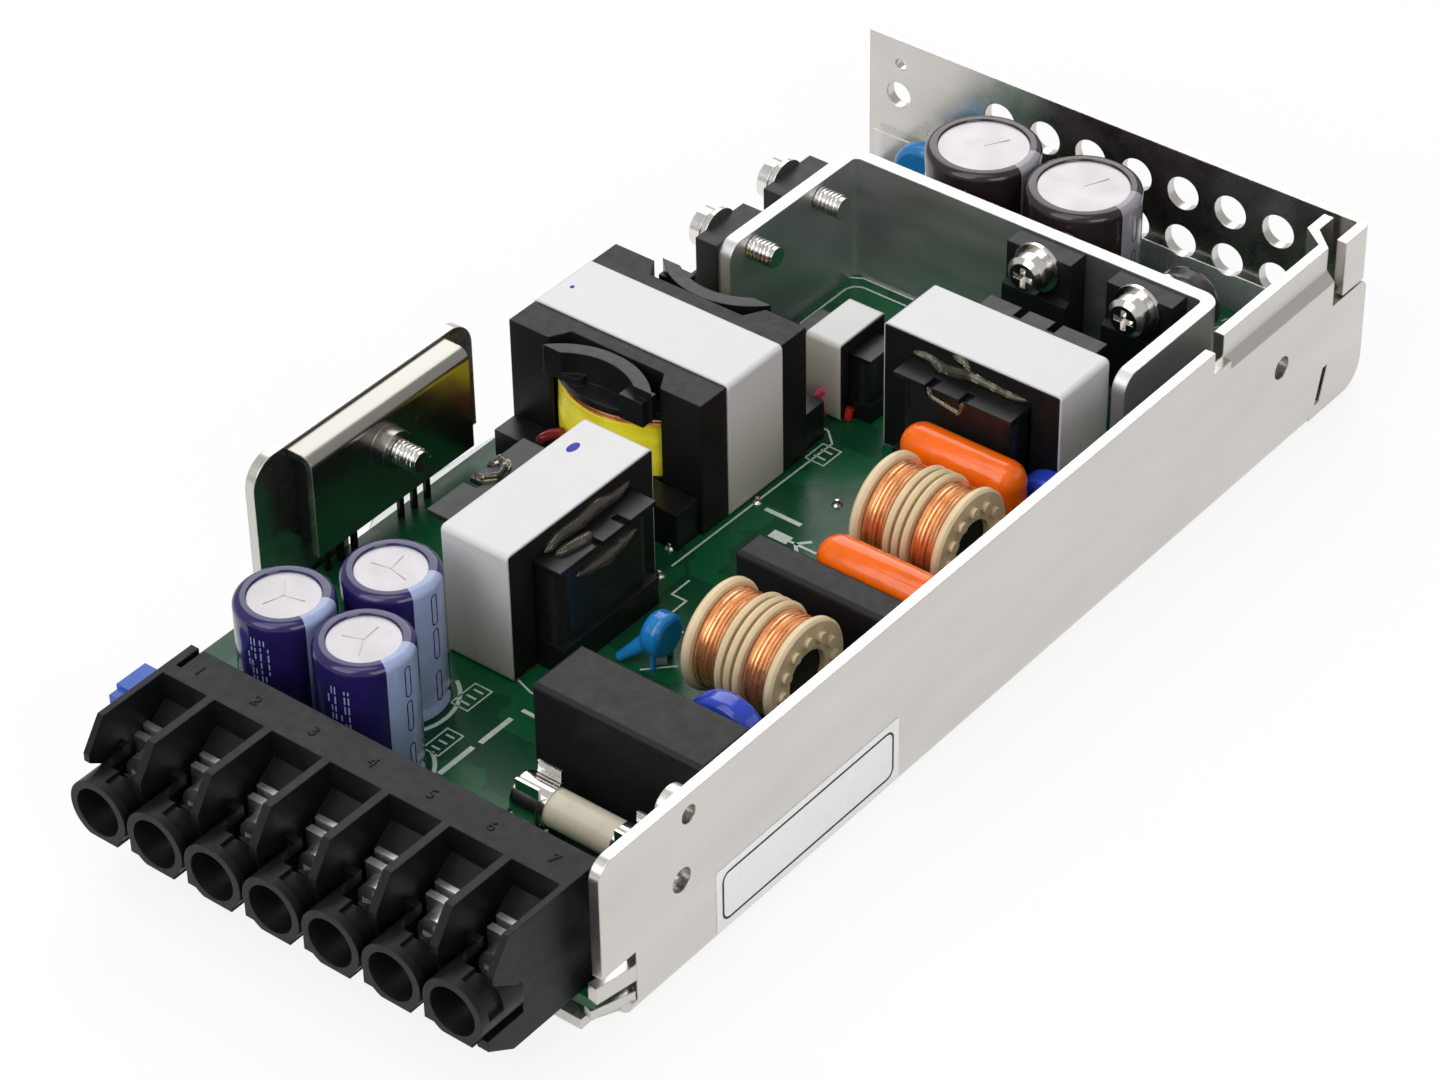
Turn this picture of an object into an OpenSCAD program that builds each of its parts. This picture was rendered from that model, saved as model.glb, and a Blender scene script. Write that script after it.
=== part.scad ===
// Enclosed switching power supply shown without its cover.
// Millimetres, +Z up, terminals toward -Y, closed side wall toward +X.
// The origin lies under the middle of the whole unit, on the underside of the floor.

/* [Chassis] */
// Outside width across the floor
chassis_w = 82; // [80:0.5:92]
// Length from the front edge of the side wall to the outside of the rear wall
chassis_l = 160; // [159:0.5:180]
// Height of the side wall and the rear wall
wall_h = 26.2; // [25:0.1:34]
// Sheet thickness of the folded chassis
sheet_t = 1.5; // [1.2:0.1:1.8]
// Inside radius of the folds
fold_r = 0.5; // [0.3:0.1:1]
// Pilot bore of the side mounting holes, tapped M4
side_bore_d = 3.3; // [3:0.1:4.4]
// Distance of the front side mounting hole from the front edge
side_hole_y = 14.4; // [12:0.2:17]
// Distance between the two side mounting holes
side_hole_pitch = 124.7; // [118:0.1:126]
// Height of the side mounting holes above the underside
side_hole_z = 14.4; // [12.5:0.1:16]
// Diameter of the rear vent holes
vent_d = 5; // [3:0.1:6]
// Pitch of the rear vent holes
vent_pitch = 7.6; // [7:0.1:8]
// Rear vent holes in each row
vent_count = 7; // [4:1:8]

/* [Board] */
// Height of the embossed board supports above the floor
support_h = 2.1; // [1.6:0.1:4]
// Thickness of the circuit board
board_t = 1.6; // [1.2:0.1:2]
// Gap between the board edge and the sheet around it
board_gap = 0.4; // [0.3:0.1:0.8]
// Thickness of the clear insulation film
film_t = 0.25; // [0.2:0.05:0.4]
// Height of the upturned rear film edge above the floor
film_rear_h = 9.3; // [5:0.1:12]

/* [Terminal block] */
// Number of poles
poles = 7; // [4:1:7]
// Distance between poles
pole_pitch = 9.1; // [8.6:0.1:9.2]
// Thickness of the partitions between poles
partition_t = 1.2; // [1:0.1:1.5]
// Height of the block above the board
block_h = 16.9; // [16:0.1:19]
// Outside diameter of the screwdriver tubes
tube_d = 8.7; // [8:0.1:8.8]
// Bore of the screwdriver tubes
tube_bore_d = 6.6; // [6.2:0.1:7]
// Reach of the tubes in front of the board edge
tube_reach = 16.3; // [15.5:0.1:18]
// Gap between the block and the side wall
block_gap = 1.9; // [1:0.1:3]
// Diameter of the terminal screws
terminal_screw_d = 3; // [2.6:0.1:3.4]

/* [Trimmer] */
// Width of the trimmer body
trimmer_w = 6.6; // [6:0.1:7.2]
// Diameter of the trimmer rotor
rotor_d = 5.6; // [4:0.1:6.4]
// Gap between the rotor and the body
rotor_gap = 0.2; // [0.1:0.05:0.3]

/* [Capacitors] */
// Diameter of the output capacitors
output_cap_d = 12.6; // [10:0.1:12.9]
// Height of the output capacitors
output_cap_h = 20; // [14:0.1:21]
// Diameter of the bulk capacitors
bulk_cap_d = 16; // [12:0.1:16.2]
// Height of the bulk capacitors
bulk_cap_h = 20.3; // [14:0.1:21]
// Height of the front box capacitor
box_cap_1_h = 15; // [10:0.1:18]
// Height of the rear box capacitor
box_cap_2_h = 11; // [8:0.1:15]
// Height of the film capacitors
film_cap_h = 12.6; // [8:0.1:13]

/* [Wound parts] */
// Core length of the two chokes
choke_core_l = 27.2; // [26:0.1:27.6]
// Core depth of the two chokes
choke_core_w = 10.8; // [9:0.1:11.2]
// Core height of the two chokes
choke_core_h = 19; // [17:0.1:20]
// Core length of the main transformer
main_core_l = 31.4; // [31:0.1:31.8]
// Core depth of the main transformer
main_core_w = 21.6; // [20:0.1:22]
// Core height of the main transformer
main_core_h = 20.1; // [18.5:0.1:20.4]
// Thickness of the white core tape
tape_t = 0.3; // [0.2:0.05:0.4]
// Flange diameter of the line filter spools
spool_d = 14.9; // [14:0.1:15.6]
// Length of the line filter spools
spool_l = 13.9; // [12.5:0.1:15]

/* [Heatsink] */
// Plate thickness
sink_t = 2; // [1.5:0.1:2.2]
// Height above the board
sink_h = 19.1; // [18:0.1:20]
// Outside length of the rear leg
sink_l = 60; // [59.6:0.1:62]
// Outside length of the left leg
sink_left_l = 29.5; // [28:0.1:30]
// Outside length of the right leg
sink_right_l = 22.5; // [15:0.1:23]
// Thickness of the transistor packages
package_t = 4.5; // [3.5:0.1:4.6]
// Diameter of the package screws
package_screw_d = 2.9; // [2.5:0.1:3]

/* [Clamp] */
// Length of the rectifier clamp plate
clamp_l = 29.6; // [26:0.1:32]
// Thickness of the rectifier clamp plate
clamp_t = 1.1; // [0.8:0.1:1.3]
// Thickness of the output rectifiers
rectifier_t = 3.2; // [3:0.1:3.6]

/* [Hidden] */
$fn = 48;
e = 0.01;
bend_r = sheet_t + fold_r;
wall_out = chassis_w / 2;
wall_in = wall_out - sheet_t;
tab_in = -wall_in;
rear_in = chassis_l - sheet_t;
mid_y = (chassis_l - tube_reach) / 2;
board_low = sheet_t + support_h;
board_top = board_low + board_t;
board_x0 = tab_in + board_gap;
board_x1 = wall_in - board_gap;
board_y0 = 0.3;
board_y1 = rear_in - 1.2;

// A longer chassis moves each row of parts by its share of the extra length
usual_l = 160;
function row(y, share) = y + share * (chassis_l - usual_l);

// Board supports, one near each corner
support_d = 6;
support_bore_d = 3;
supports = [
    [board_x0 + 6, 12], [board_x1 - 4, 9],
    [board_x0 + 5, rear_in - 8.5], [board_x1 - 4, rear_in - 8.5]
];

// Side wall cut-outs
lip_l = 6;
lip_in = 2;
strip_y0 = chassis_l - 33.5;
strip_y1 = chassis_l - 9;
strip_in = 1.3;
strip_z = wall_h - 3.4;
ear_y0 = chassis_l - 13;
ear_z0 = 1.1;
ear_z1 = wall_h - 8.7;
ear_y1 = chassis_l - 0.6;
hook_in = 3.3;
corner_y0 = chassis_l - 6.6;
cover_bore_d = 2.5;
cover_hole_y = 15.9;
cover_hole_z = wall_h - 2.9;
collar_h = 1.5;

// Tab on the open side
tab_y0 = row(30.7, 0.3);
tab_y1 = tab_y0 + 41;
tab_foot_l = 15.8;
tab_gap_z = 9.2;
tab_r = 4;

// Film flap behind the tab's foot
flap_y0 = tab_y0 + 19.3;
flap_l = 30;
flap_h = 5.4;
flap_r = 3;

// Terminal block, measured from its left end and the board
block_l = poles * pole_pitch;
block_x0 = wall_in - block_gap - block_l;
block_rear = 4.9;
bar_front = -0.9;
shelf_y = -9.1;
nose_y = -13.8;
nose_z = block_h - 4.1;
tube_z = 7.4;
shelf_z = 11.2;
ledge_z = 10.8;
ledge_rise = 2.2;
ledge_y = -4.2;
pocket_z = 2.6;
pocket_y = -8;
end_wall_t = 0.9;
end_in = 0.5;
rib_y = -15.2;
rib_t = 1.6;
rib_h = 6.6;
foot_h = 4.2;
tube_flat = 4;
tube_key = 2.7;
slot_w = 4.8;
slot_y = -10.5;
collar_y = -15.1;
neck_y = -12.6;
neck_cut = 0.6;
bay_w = pole_pitch - partition_t;
plate_w = 6.2;
plate_t = 0.8;
clamp_plate_gap = 0.6;
clamp_plate_t = 1;
screw_gap = 0.1;
terminal_head_d = 5.6;
terminal_head_h = 2;

// Trimmer
trimmer_x = (board_x0 + block_x0 + end_in - trimmer_w) / 2 - 1.25;
trimmer_y = 2.4;
trimmer_depth = 5;
trimmer_h = 6.8;
bezel_in = 0.4;
bezel_l = 1.7;
rotor_l = 1.4;
rotor_z = 3.5;
hub_d = 2.4;

// Places on the board
output_cap_at = [[-20.6, 15.9], [-13.9, 27.5], [-7.5, 15.5]];
bulk_cap_at = [[-11.2, row(145, 0.78)], [5.2, row(145, 0.78)]];
output_choke_at = [-9.65, row(51.5, 0.23)];
boost_choke_at = [16.1, row(109.8, 0.72)];
main_at = [-19.9, row(85.6, 0.52)];
drive_at = [-7.9, row(109.7, 0.75)];
sink_x0 = -26.2;
sink_y1 = row(135.5, 0.78);
spool_at = [[15.2, row(53.3, 0.45)], [16, row(85.9, 0.68)]];
film_cap_at = [[11.2, row(94.05, 0.68)], [16.9, row(69.1, 0.58)]];
film_cap_l = 18.5;
film_cap_w = 5.9;
film_cap_r = 2.9;
box_cap_at = [[board_x1 - 29.8, row(25.5, 0.15)], [9.5, row(63.9, 0.57)]];
box_cap_size = [[26.2, 9.5], [25, 5]];
box_cap_h = [box_cap_1_h, box_cap_2_h];
box_cap_r = 0.8;
varistor_at = [[27, row(40.2, 0.3)], [30, row(102.1, 0.72)]];
varistor_d = [11.4, 8.4];
disc_cap_at = [[7.4, row(52, 0.45)], [-26.5, row(152.3, 1)]];
disc_cap_d = [6, 9];
disc_cap_turn = [90, 0];
disc_cap_lift = 1.4;
disc_cap_tail = [-4.3, -3.1, -3.8];
thermistor_at = [20, row(148, 0.78)];

// Chokes
choke_leg = 4.2;
choke_post = 8.6;
choke_plate = 3;
choke_front = 4.2;
choke_rear = 6.4;
choke_notches = [-3.6, 1.7];
notch_w = 1.2;
notch_l = 2.2;
choke_tape_w = choke_core_w - 0.2;

// Main transformer
main_plate = 4.4;
main_post_d = 13.4;
main_space_d = 27.4;
mouth_w = 19.6;
mouth_in_w = 15.2;
mouth_l = 2.8;
main_tape_w = 11.2;
main_winding_d = main_space_d - 1;
guide_r = 12;
guide_t = 2;
guide_front = main_core_w / 2 + 1.4;
guide_back = main_core_w / 2 - 2.6;
guide_low = main_core_h - main_plate - 0.2;
guide_top = main_core_h - 0.2;
guide_arm = [3.8, 2.8, 3.7];
guide_pad = [3.8, 2.2, 1.2];

// Drive transformer
drive_core_l = 9.4;
drive_core_w = 5.8;
drive_core_h = 11.7;
drive_leg = 1.6;
drive_post = 2.6;
drive_plate = 1.8;
drive_flange = 3.4;

// Heatsink and packages
sink_bend = sink_t + 0.8;
sink_corner_r = 2.5;
package_w = 10.2;
package_h = 15.4;
package_z = 3.4;
package_hole_z = 16.8;
package_hole_d = 3.3;
lead_pitch = 2.54;
switch_x = [34.7, 50.6];
diode_y = [4.8, 19.4];
head_d = 5.6;
head_h = 2.2;
washer_d = 7;
washer_t = 0.6;
spring_d = 5.2;
spring_t = 0.8;

// Rectifier clamp
clamp_y0 = tab_y0 + 6.1;
clamp_x = tab_in + rectifier_t;
clamp_top = wall_h - 0.4;
clamp_low = wall_h - 15.6;
clamp_screw_y = clamp_y0 + 13.2;
rectifier_y = [clamp_y0 + 1.2, clamp_y0 + 15.2];
clamp_screw_z = wall_h - 5.7;
clamp_screw_d = 2.9;
clamp_screw_reach = 6.2;

// Moves a piece from the front edge of the wall to the shared frame
module placed() {
    translate([0, -mid_y, 0]) children();
}

// Moves a piece onto the top of the board
module on_board(x = 0, y = 0) {
    placed() translate([x, y, board_top]) children();
}

// Stretches a flat XZ outline along Y
module along_y(y0, y1) {
    translate([0, y1, 0]) rotate([90, 0, 0]) linear_extrude(y1 - y0) children();
}

// Stretches a flat YZ outline along X
module along_x(x0, x1) {
    translate([x0, 0, 0]) rotate([90, 0, 90]) linear_extrude(x1 - x0) children();
}

// Round bar along X
module rod_x(d, x0, x1) {
    translate([x0, 0, 0]) rotate([0, 90, 0]) cylinder(d = d, h = x1 - x0);
}

// Round bar along Y
module rod_y(d, y0, y1) {
    translate([0, y1, 0]) rotate([90, 0, 0]) cylinder(d = d, h = y1 - y0);
}

// Flat rectangle with one radius at all corners
module round_rect(w, h, r) {
    translate([r, 0]) square([w - 2 * r, h]);
    translate([0, r]) square([w, h - 2 * r]);
    for (x = [r, w - r], y = [r, h - r]) translate([x, y]) circle(r);
}

// Quarter of a ring, open toward -X and +Y
module quarter_ring(r_out, r_in) {
    difference() {
        intersection() {
            circle(r_out);
            translate([0, -r_out]) square(r_out);
        }
        circle(r_in);
    }
}

// Fills the corner between two edges so that cutting it leaves a round corner
module corner_cut(r) {
    difference() {
        square(r + 1);
        circle(r);
    }
}

module side_wall() {
    along_y(0, ear_y0) {
        translate([wall_out - bend_r, bend_r]) quarter_ring(bend_r, fold_r);
        translate([wall_in, bend_r - e]) square([sheet_t, wall_h - bend_r + e]);
    }
    along_x(wall_in, wall_out) {
        difference() {
            translate([ear_y0 - e, ear_z0]) square([ear_y1 - ear_y0 + e, ear_z1 - ear_z0]);
            translate([ear_y1 - 4, ear_z0 + 4]) mirror([0, 1]) corner_cut(4);
            translate([ear_y1 - 1.5, ear_z1 - 1.5]) corner_cut(1.5);
        }
        translate([ear_y0 - e, ear_z1 - e]) square([strip_y1 - ear_y0, wall_h - ear_z1 + e]);
    }
}

module front_slots() {
    along_x(wall_in - e, wall_out + e) {
        translate([-e, board_top]) square([lip_l, 4.4]);
        translate([-e, bend_r + 0.2]) square([lip_l, board_top - bend_r]);
        translate([2.5, wall_h - 2.5]) mirror([1, 0]) corner_cut(2.5);
    }
}

module front_lips() {
    for (z = [[board_top, 2.4, lip_in / 2], [bend_r + 0.2, board_low - bend_r - 0.2, lip_in]])
        translate([wall_in, lip_l + 0.2, z[0]])
            rotate([0, 0, -atan(z[2] / lip_l)]) translate([0, -lip_l, 0])
                cube([sheet_t, lip_l, z[1]]);
}

module pressed_strip() {
    along_y(strip_y0, strip_y1) polygon([
        [wall_in, strip_z - 1.4], [wall_out, strip_z - 1.4],
        [wall_out - strip_in, strip_z], [wall_out - strip_in, wall_h],
        [wall_in - strip_in, wall_h], [wall_in - strip_in, strip_z]
    ]);
    translate([0, 0, ear_z1 + 0.6]) linear_extrude(wall_h - ear_z1 - 0.6) polygon([
        [wall_out - strip_in, strip_y1 - e], [wall_out - strip_in - hook_in, strip_y1 + 3],
        [wall_out - strip_in - hook_in, rear_in - 1], [wall_in - strip_in - hook_in, rear_in - 1],
        [wall_in - strip_in - hook_in, strip_y1 + 2.4], [wall_in - strip_in, strip_y1 - e]
    ]);
}

module rear_wall() {
    along_x(board_x0 - 1.4, wall_in - 0.3) {
        translate([chassis_l - bend_r, bend_r]) quarter_ring(bend_r, fold_r);
        translate([rear_in, bend_r - e]) square([sheet_t, wall_h - bend_r + e]);
    }
    translate([0, 0, ear_z1 + 0.4]) linear_extrude(wall_h - ear_z1 - 0.4) {
        translate([wall_in - 1, rear_in]) square([1 - fold_r + e, sheet_t]);
        translate([wall_out - bend_r, chassis_l - bend_r]) mirror([0, 1]) quarter_ring(bend_r, fold_r);
        translate([wall_in, corner_y0]) square([sheet_t, chassis_l - bend_r - corner_y0 + e]);
    }
}

module rear_holes() {
    for (i = [0:vent_count - 1], z = [12.1, 19.8])
        translate([board_x1 - 11.6 - i * vent_pitch, 0, z]) rod_y(vent_d, rear_in - e, chassis_l + e);
    translate([board_x0 + 3.7, 0, 17.3]) rod_y(4, rear_in - e, chassis_l + e);
    translate([board_x0 + 4, 0, 22.4]) rod_y(1.8, rear_in - e, chassis_l + e);
}

module side_tab() {
    mirror([1, 0, 0]) along_y(tab_y0, tab_y0 + tab_foot_l)
        translate([wall_out - bend_r, bend_r]) quarter_ring(bend_r, fold_r);
    along_x(-wall_out, tab_in) difference() {
        union() {
            translate([tab_y0, bend_r - e]) square([tab_foot_l, tab_gap_z]);
            translate([tab_y0, tab_gap_z]) square([tab_y1 - tab_y0, wall_h - tab_gap_z]);
        }
        translate([tab_y0 + tab_r, wall_h - tab_r]) mirror([1, 0]) corner_cut(tab_r);
        translate([tab_y1 - tab_r, wall_h - tab_r]) corner_cut(tab_r);
    }
}

// Corner of the floor and the fold that is cut away at the front
module front_notch() {
    translate([wall_in - 2, 0, -e]) linear_extrude(bend_r + 0.3)
        polygon([[0, -1], [sheet_t + 3, -1], [sheet_t + 3, 5], [sheet_t, 5], [0, 2]]);
}

// Flat floor between the folds, with embossed board supports
module chassis_floor() color("LightGray") placed() difference() {
    union() {
        difference() {
            translate([-wall_out + bend_r, 0, 0])
                cube([chassis_w - 2 * bend_r, chassis_l - bend_r, sheet_t]);
            front_notch();
        }
        for (p = supports) translate([p[0], p[1], sheet_t - e])
            cylinder(d = support_d, h = support_h + e);
    }
    for (p = supports) translate([p[0], p[1], -e]) cylinder(d = support_bore_d, h = 9);
}

// Side wall, rear wall and side tab, each folded up from the floor
module chassis_walls() color("LightGray") placed() difference() {
    union() {
        difference() {
            side_wall();
            front_slots();
            front_notch();
            translate([wall_in - e, strip_y0, strip_z - 1.4]) cube([sheet_t + 1, 40, 10]);
            translate([wall_in - e, strip_y0 - 4, strip_z]) cube([sheet_t + 1, 4.2, 10]);
            along_x(wall_in - e, wall_out + e)
                translate([ear_y0, 0]) polygon([[1.2, 3], [2.4, 3], [3.9, 8.3], [2.7, 8.3]]);
        }
        front_lips();
        pressed_strip();
        rear_wall();
        side_tab();
        for (y = [side_hole_y, side_hole_y + side_hole_pitch]) translate([0, y, side_hole_z])
            rod_x(side_bore_d + 2.4, wall_in - collar_h, wall_in + e);
        translate([0, cover_hole_y, cover_hole_z])
            rod_x(cover_bore_d + 2.8, wall_in - collar_h, wall_in + e);
    }
    for (y = [side_hole_y, side_hole_y + side_hole_pitch]) translate([0, y, side_hole_z])
        rod_x(side_bore_d, wall_in - 3, wall_out + 1);
    translate([0, cover_hole_y, cover_hole_z]) rod_x(cover_bore_d, wall_in - 3, wall_out + 1);
    rear_holes();
    translate([0, clamp_screw_y, clamp_screw_z]) {
        rod_x(clamp_screw_d + 0.2, -wall_out - 1, tab_in + 1);
        translate([-wall_out - e, 0, 0]) rotate([0, 90, 0])
            cylinder(d1 = 5.6, d2 = clamp_screw_d + 0.2, h = 1.2);
    }
}

module insulation_film() color("GhostWhite", 0.6) placed() difference() {
    union() {
        translate([board_x0 - film_t - 0.05, -1.3, sheet_t])
            cube([board_x1 - board_x0 - 0.8, rear_in - 0.8 + 1.3, film_t]);
        translate([board_x0, rear_in - 0.8 - film_t, sheet_t])
            cube([board_x1 - board_x0 - 8, film_t, film_rear_h]);
        along_x(board_x0 - film_t - 0.05, board_x0 - 0.05) difference() {
            polygon([
                [flap_y0, sheet_t], [flap_y0, sheet_t + flap_h], [flap_y0 + flap_r, sheet_t + flap_h],
                [flap_y0 + flap_l, sheet_t + flap_h - 2], [flap_y0 + flap_l, sheet_t]
            ]);
            translate([flap_y0 + flap_r, sheet_t + flap_h - flap_r]) mirror([1, 0]) corner_cut(flap_r);
        }
    }
    for (p = supports) translate([p[0], p[1], 0]) cylinder(d = support_d + 0.8, h = 9);
    translate([-wall_out, tab_y0 - 2, 0]) cube([bend_r + 0.6, tab_foot_l + 4, 9]);
}

module circuit_board() color("DarkGreen") placed() difference() {
    translate([board_x0, board_y0, board_low])
        cube([board_x1 - board_x0, board_y1 - board_y0, board_t]);
    for (p = supports) translate([p[0], p[1], 0]) cylinder(d = support_bore_d + 0.4, h = 20);
    translate([board_x1 - hook_in - 2, rear_in - 6, 0]) cube([9, 9, 20]);
}

module board_screws() color("Silver") for (p = supports) on_board(p[0], p[1]) difference() {
    union() {
        cylinder(d = 5.4, h = 1.4);
        translate([0, 0, 1.4 - e]) cylinder(d1 = 5.4, d2 = 4.2, h = 0.6);
        translate([0, 0, 0.6 - board_top]) cylinder(d = support_bore_d - 0.1, h = board_top);
    }
    for (a = [0, 90]) rotate([0, 0, a]) translate([-1.4, -0.35, 1]) cube([2.8, 0.7, 2]);
}

// Centre of one pole along X
function pole_x(i) = block_x0 + (i + 0.5) * pole_pitch;

// Outline of the partitions and end walls, rear to front
module block_profile() {
    polygon([
        [block_rear, 0], [block_rear, block_h], [-10.9, block_h], [nose_y, nose_z],
        [nose_y, nose_z - 1.2], [shelf_y, 8.4], [shelf_y, 0]
    ]);
}

// Space of one bay between its walls: wire entry, sloped ledge, pocket and open front
module bay_profile() {
    polygon([
        [bar_front, block_h + 1], [bar_front, ledge_z + ledge_rise], [ledge_y, ledge_z],
        [ledge_y, pocket_z], [pocket_y, pocket_z], [pocket_y, shelf_z],
        [shelf_y, shelf_z], [shelf_y, 5], [nose_y - 1, 5], [nose_y - 1, block_h + 1]
    ]);
}

module terminal_block() color("#202122") on_board() difference() {
    x0 = block_x0 + end_in;
    x1 = block_x0 + block_l - end_in;
    union() {
        difference() {
            along_x(x0, x1) block_profile();
            for (i = [0:poles - 1]) {
                bay_x0 = max(pole_x(i) - bay_w / 2, x0 + end_wall_t);
                bay_x1 = min(pole_x(i) + bay_w / 2, x1 - end_wall_t);
                along_x(bay_x0, bay_x1) bay_profile();
            }
        }
        for (i = [0:poles - 1]) translate([pole_x(i), 0, tube_z]) difference() {
            union() {
                rod_y(tube_d, -tube_reach, shelf_y + e);
                translate([0, -tube_reach, -tube_flat]) cube([tube_key, tube_reach + shelf_y, tube_flat]);
            }
            translate([-tube_d, -tube_reach - 1, -tube_d]) cube([2 * tube_d, 20, tube_d - tube_flat]);
            difference() {
                translate([0.6, collar_y, 0]) cube([tube_d, neck_y - collar_y, tube_d]);
                rod_y(tube_d - 2 * neck_cut, collar_y - 1, neck_y + 1);
            }
        }
        for (i = [0:poles]) {
            top = i == 0 || i == poles ? foot_h : rib_h;
            translate([min(max(block_x0 + i * pole_pitch, x0 + rib_t / 2), x1 - rib_t / 2), 0, 0])
                along_x(-rib_t / 2, rib_t / 2)
                    polygon([[shelf_y + e, 0], [shelf_y + e, top], [rib_y, top], [rib_y, 2.7], [-11, 0]]);
        }
    }
    for (i = [0:poles - 1]) translate([pole_x(i), 0, tube_z]) {
        rod_y(tube_bore_d, -tube_reach - 1, pocket_y + e);
        rod_y(terminal_screw_d + 0.6, ledge_y - 1, -1.6);
        translate([0, slot_y, 0]) cylinder(d = slot_w, h = tube_d);
        translate([-slot_w / 2, slot_y, 0]) cube([slot_w, pocket_y - slot_y + e, tube_d]);
    }
    translate([x0 + 1.2, 1, block_h - 1.6]) cube([0.8, 9, 9]);
}

module terminal_plates() color("Silver") for (i = [0:poles - 1]) on_board(pole_x(i)) difference() {
    translate([-plate_w / 2, ledge_y - plate_t, pocket_z]) cube([plate_w, plate_t, ledge_z + 1 - pocket_z]);
    translate([0, 0, tube_z]) rod_y(terminal_screw_d + screw_gap, ledge_y - 2, ledge_y + 1);
}

module terminal_clamps() color("Gainsboro") for (i = [0:poles - 1]) on_board(pole_x(i)) difference() {
    translate([-plate_w / 2, ledge_y - plate_t - clamp_plate_gap - clamp_plate_t, pocket_z + 1.4])
        cube([plate_w, clamp_plate_t, ledge_z + 0.4 - pocket_z - 1.4]);
    translate([0, 0, tube_z]) rod_y(terminal_screw_d + screw_gap, pocket_y, ledge_y);
}

module terminal_screws() color("Silver") for (i = [0:poles - 1]) on_board(pole_x(i)) {
    head_y = ledge_y - plate_t - clamp_plate_gap - clamp_plate_t;
    translate([0, 0, tube_z]) difference() {
        union() {
            rod_y(terminal_screw_d, head_y - e, ledge_y + 2.2);
            rod_y(terminal_head_d, head_y - terminal_head_h, head_y);
        }
        for (a = [0, 90]) rotate([0, a, 0]) translate([-2, head_y - terminal_head_h - 1, -0.4])
            cube([4, 2, 0.8]);
    }
}

module trimmer_body() color("RoyalBlue") on_board(trimmer_x, trimmer_y) difference() {
    union() {
        cube([trimmer_w, trimmer_depth, trimmer_h]);
        translate([bezel_in, -bezel_l, bezel_in])
            cube([trimmer_w - 2 * bezel_in, bezel_l + e, trimmer_h - 2 * bezel_in]);
    }
    translate([trimmer_w / 2, -bezel_l, rotor_z]) rod_y(hub_d + 2 * rotor_gap, -1, 2);
    translate([-1, trimmer_depth - 0.6, -e]) cube([trimmer_w + 2, 1, 1]);
}

module trimmer_rotor() color("CornflowerBlue")
    on_board(trimmer_x + trimmer_w / 2, trimmer_y - bezel_l - rotor_gap)
    translate([0, 0, rotor_z]) difference() {
        union() {
            rod_y(rotor_d, -rotor_l, 0);
            rod_y(hub_d, -e, 1.8);
        }
        translate([-rotor_d, -rotor_l - 1, -0.4]) cube([2 * rotor_d, 2, 0.8]);
    }

// Can with a crimped foot, a rounded shoulder and a sleeve rim
module can(d, h, top_d) {
    rotate_extrude() {
        square([d / 2, 1.4]);
        square([d / 2 - 0.4, h - 0.3]);
        translate([0, 2.2]) square([d / 2, h - 3.2]);
        translate([0, 2]) square([d / 2 - 1, h - 2.2]);
        translate([d / 2 - 1, h - 1]) circle(1);
        translate([top_d / 2, h - 1]) square([(d - top_d) / 2 - 1, 1]);
    }
}

module output_capacitor(i) color("#4a4f9c") on_board(output_cap_at[i][0], output_cap_at[i][1])
    can(output_cap_d, output_cap_h, output_cap_d - 3.6);

module bulk_capacitor(i) color("#3b302c") on_board(bulk_cap_at[i][0], bulk_cap_at[i][1])
    can(bulk_cap_d, bulk_cap_h, bulk_cap_d - 3.6);

// Core with two windows; length along X, standing on its tape
module window_core(l, w, h, leg, post, plate) {
    difference() {
        translate([-l / 2, -w / 2, 0]) cube([l, w, h]);
        for (s = [-1, 1]) translate([s * (l / 2 - leg + post / 2) / 2, 0, h / 2])
            cube([l / 2 - leg - post / 2, w + 2, h - 2 * plate], center = true);
    }
}

// Bobbin in the windows; flanges reach past the core, the upper ones with wire notches
module window_bobbin(l, w, h, leg, post, plate, front, rear, lift, notches) {
    in_w = l - 2 * leg - 0.4;
    flange_t = plate / 4;
    top_z = h - plate - 0.1 - flange_t;
    difference() {
        union() {
            for (z = [plate + 0.1, top_z]) translate([-in_w / 2, -w / 2 - front, z])
                cube([in_w, w + front + rear, flange_t]);
            translate([-post / 2 - 0.9, -w / 2 - 0.9, plate + 0.1])
                cube([post + 1.8, w + 1.8, h - 2 * plate - 0.2]);
            translate([-in_w / 2, -w / 2 - front, -lift]) cube([in_w, front - 0.2, plate + 0.2 + lift]);
            translate([-in_w / 2, w / 2 + 0.2, -lift]) cube([in_w, rear - 0.2, plate + 0.2 + lift]);
        }
        translate([-post / 2 - 0.1, -w / 2 - 0.1, 0]) cube([post + 0.2, w + 0.2, h]);
        for (x = notches, y = [-w / 2 - front - 1, w / 2 + rear - notch_l])
            translate([x - notch_w / 2, y, top_z - 1]) cube([notch_w, notch_l + 1, 9]);
    }
}

// Winding on a window bobbin, rounded at its corners
module window_winding(l, w, h, leg, post, plate, reach) {
    in_w = l - 2 * leg - 1.2;
    deep = w + 2 * reach - 1.4;
    flange_t = plate / 4;
    z0 = plate + 0.1 + flange_t;
    translate([0, 0, z0]) linear_extrude(h - 2 * z0) difference() {
        translate([-in_w / 2, -deep / 2]) round_rect(in_w, deep, reach / 2);
        square([post + 1.8, w + 1.8], center = true);
    }
}

// Tape loop round a core of length l and height h
module tape_loop(l, w, h) {
    along_y(-w / 2, w / 2) difference() {
        translate([-l / 2 - tape_t, -tape_t]) square([l + 2 * tape_t, h + 2 * tape_t]);
        translate([-l / 2, 0]) square([l, h]);
    }
}

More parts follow.
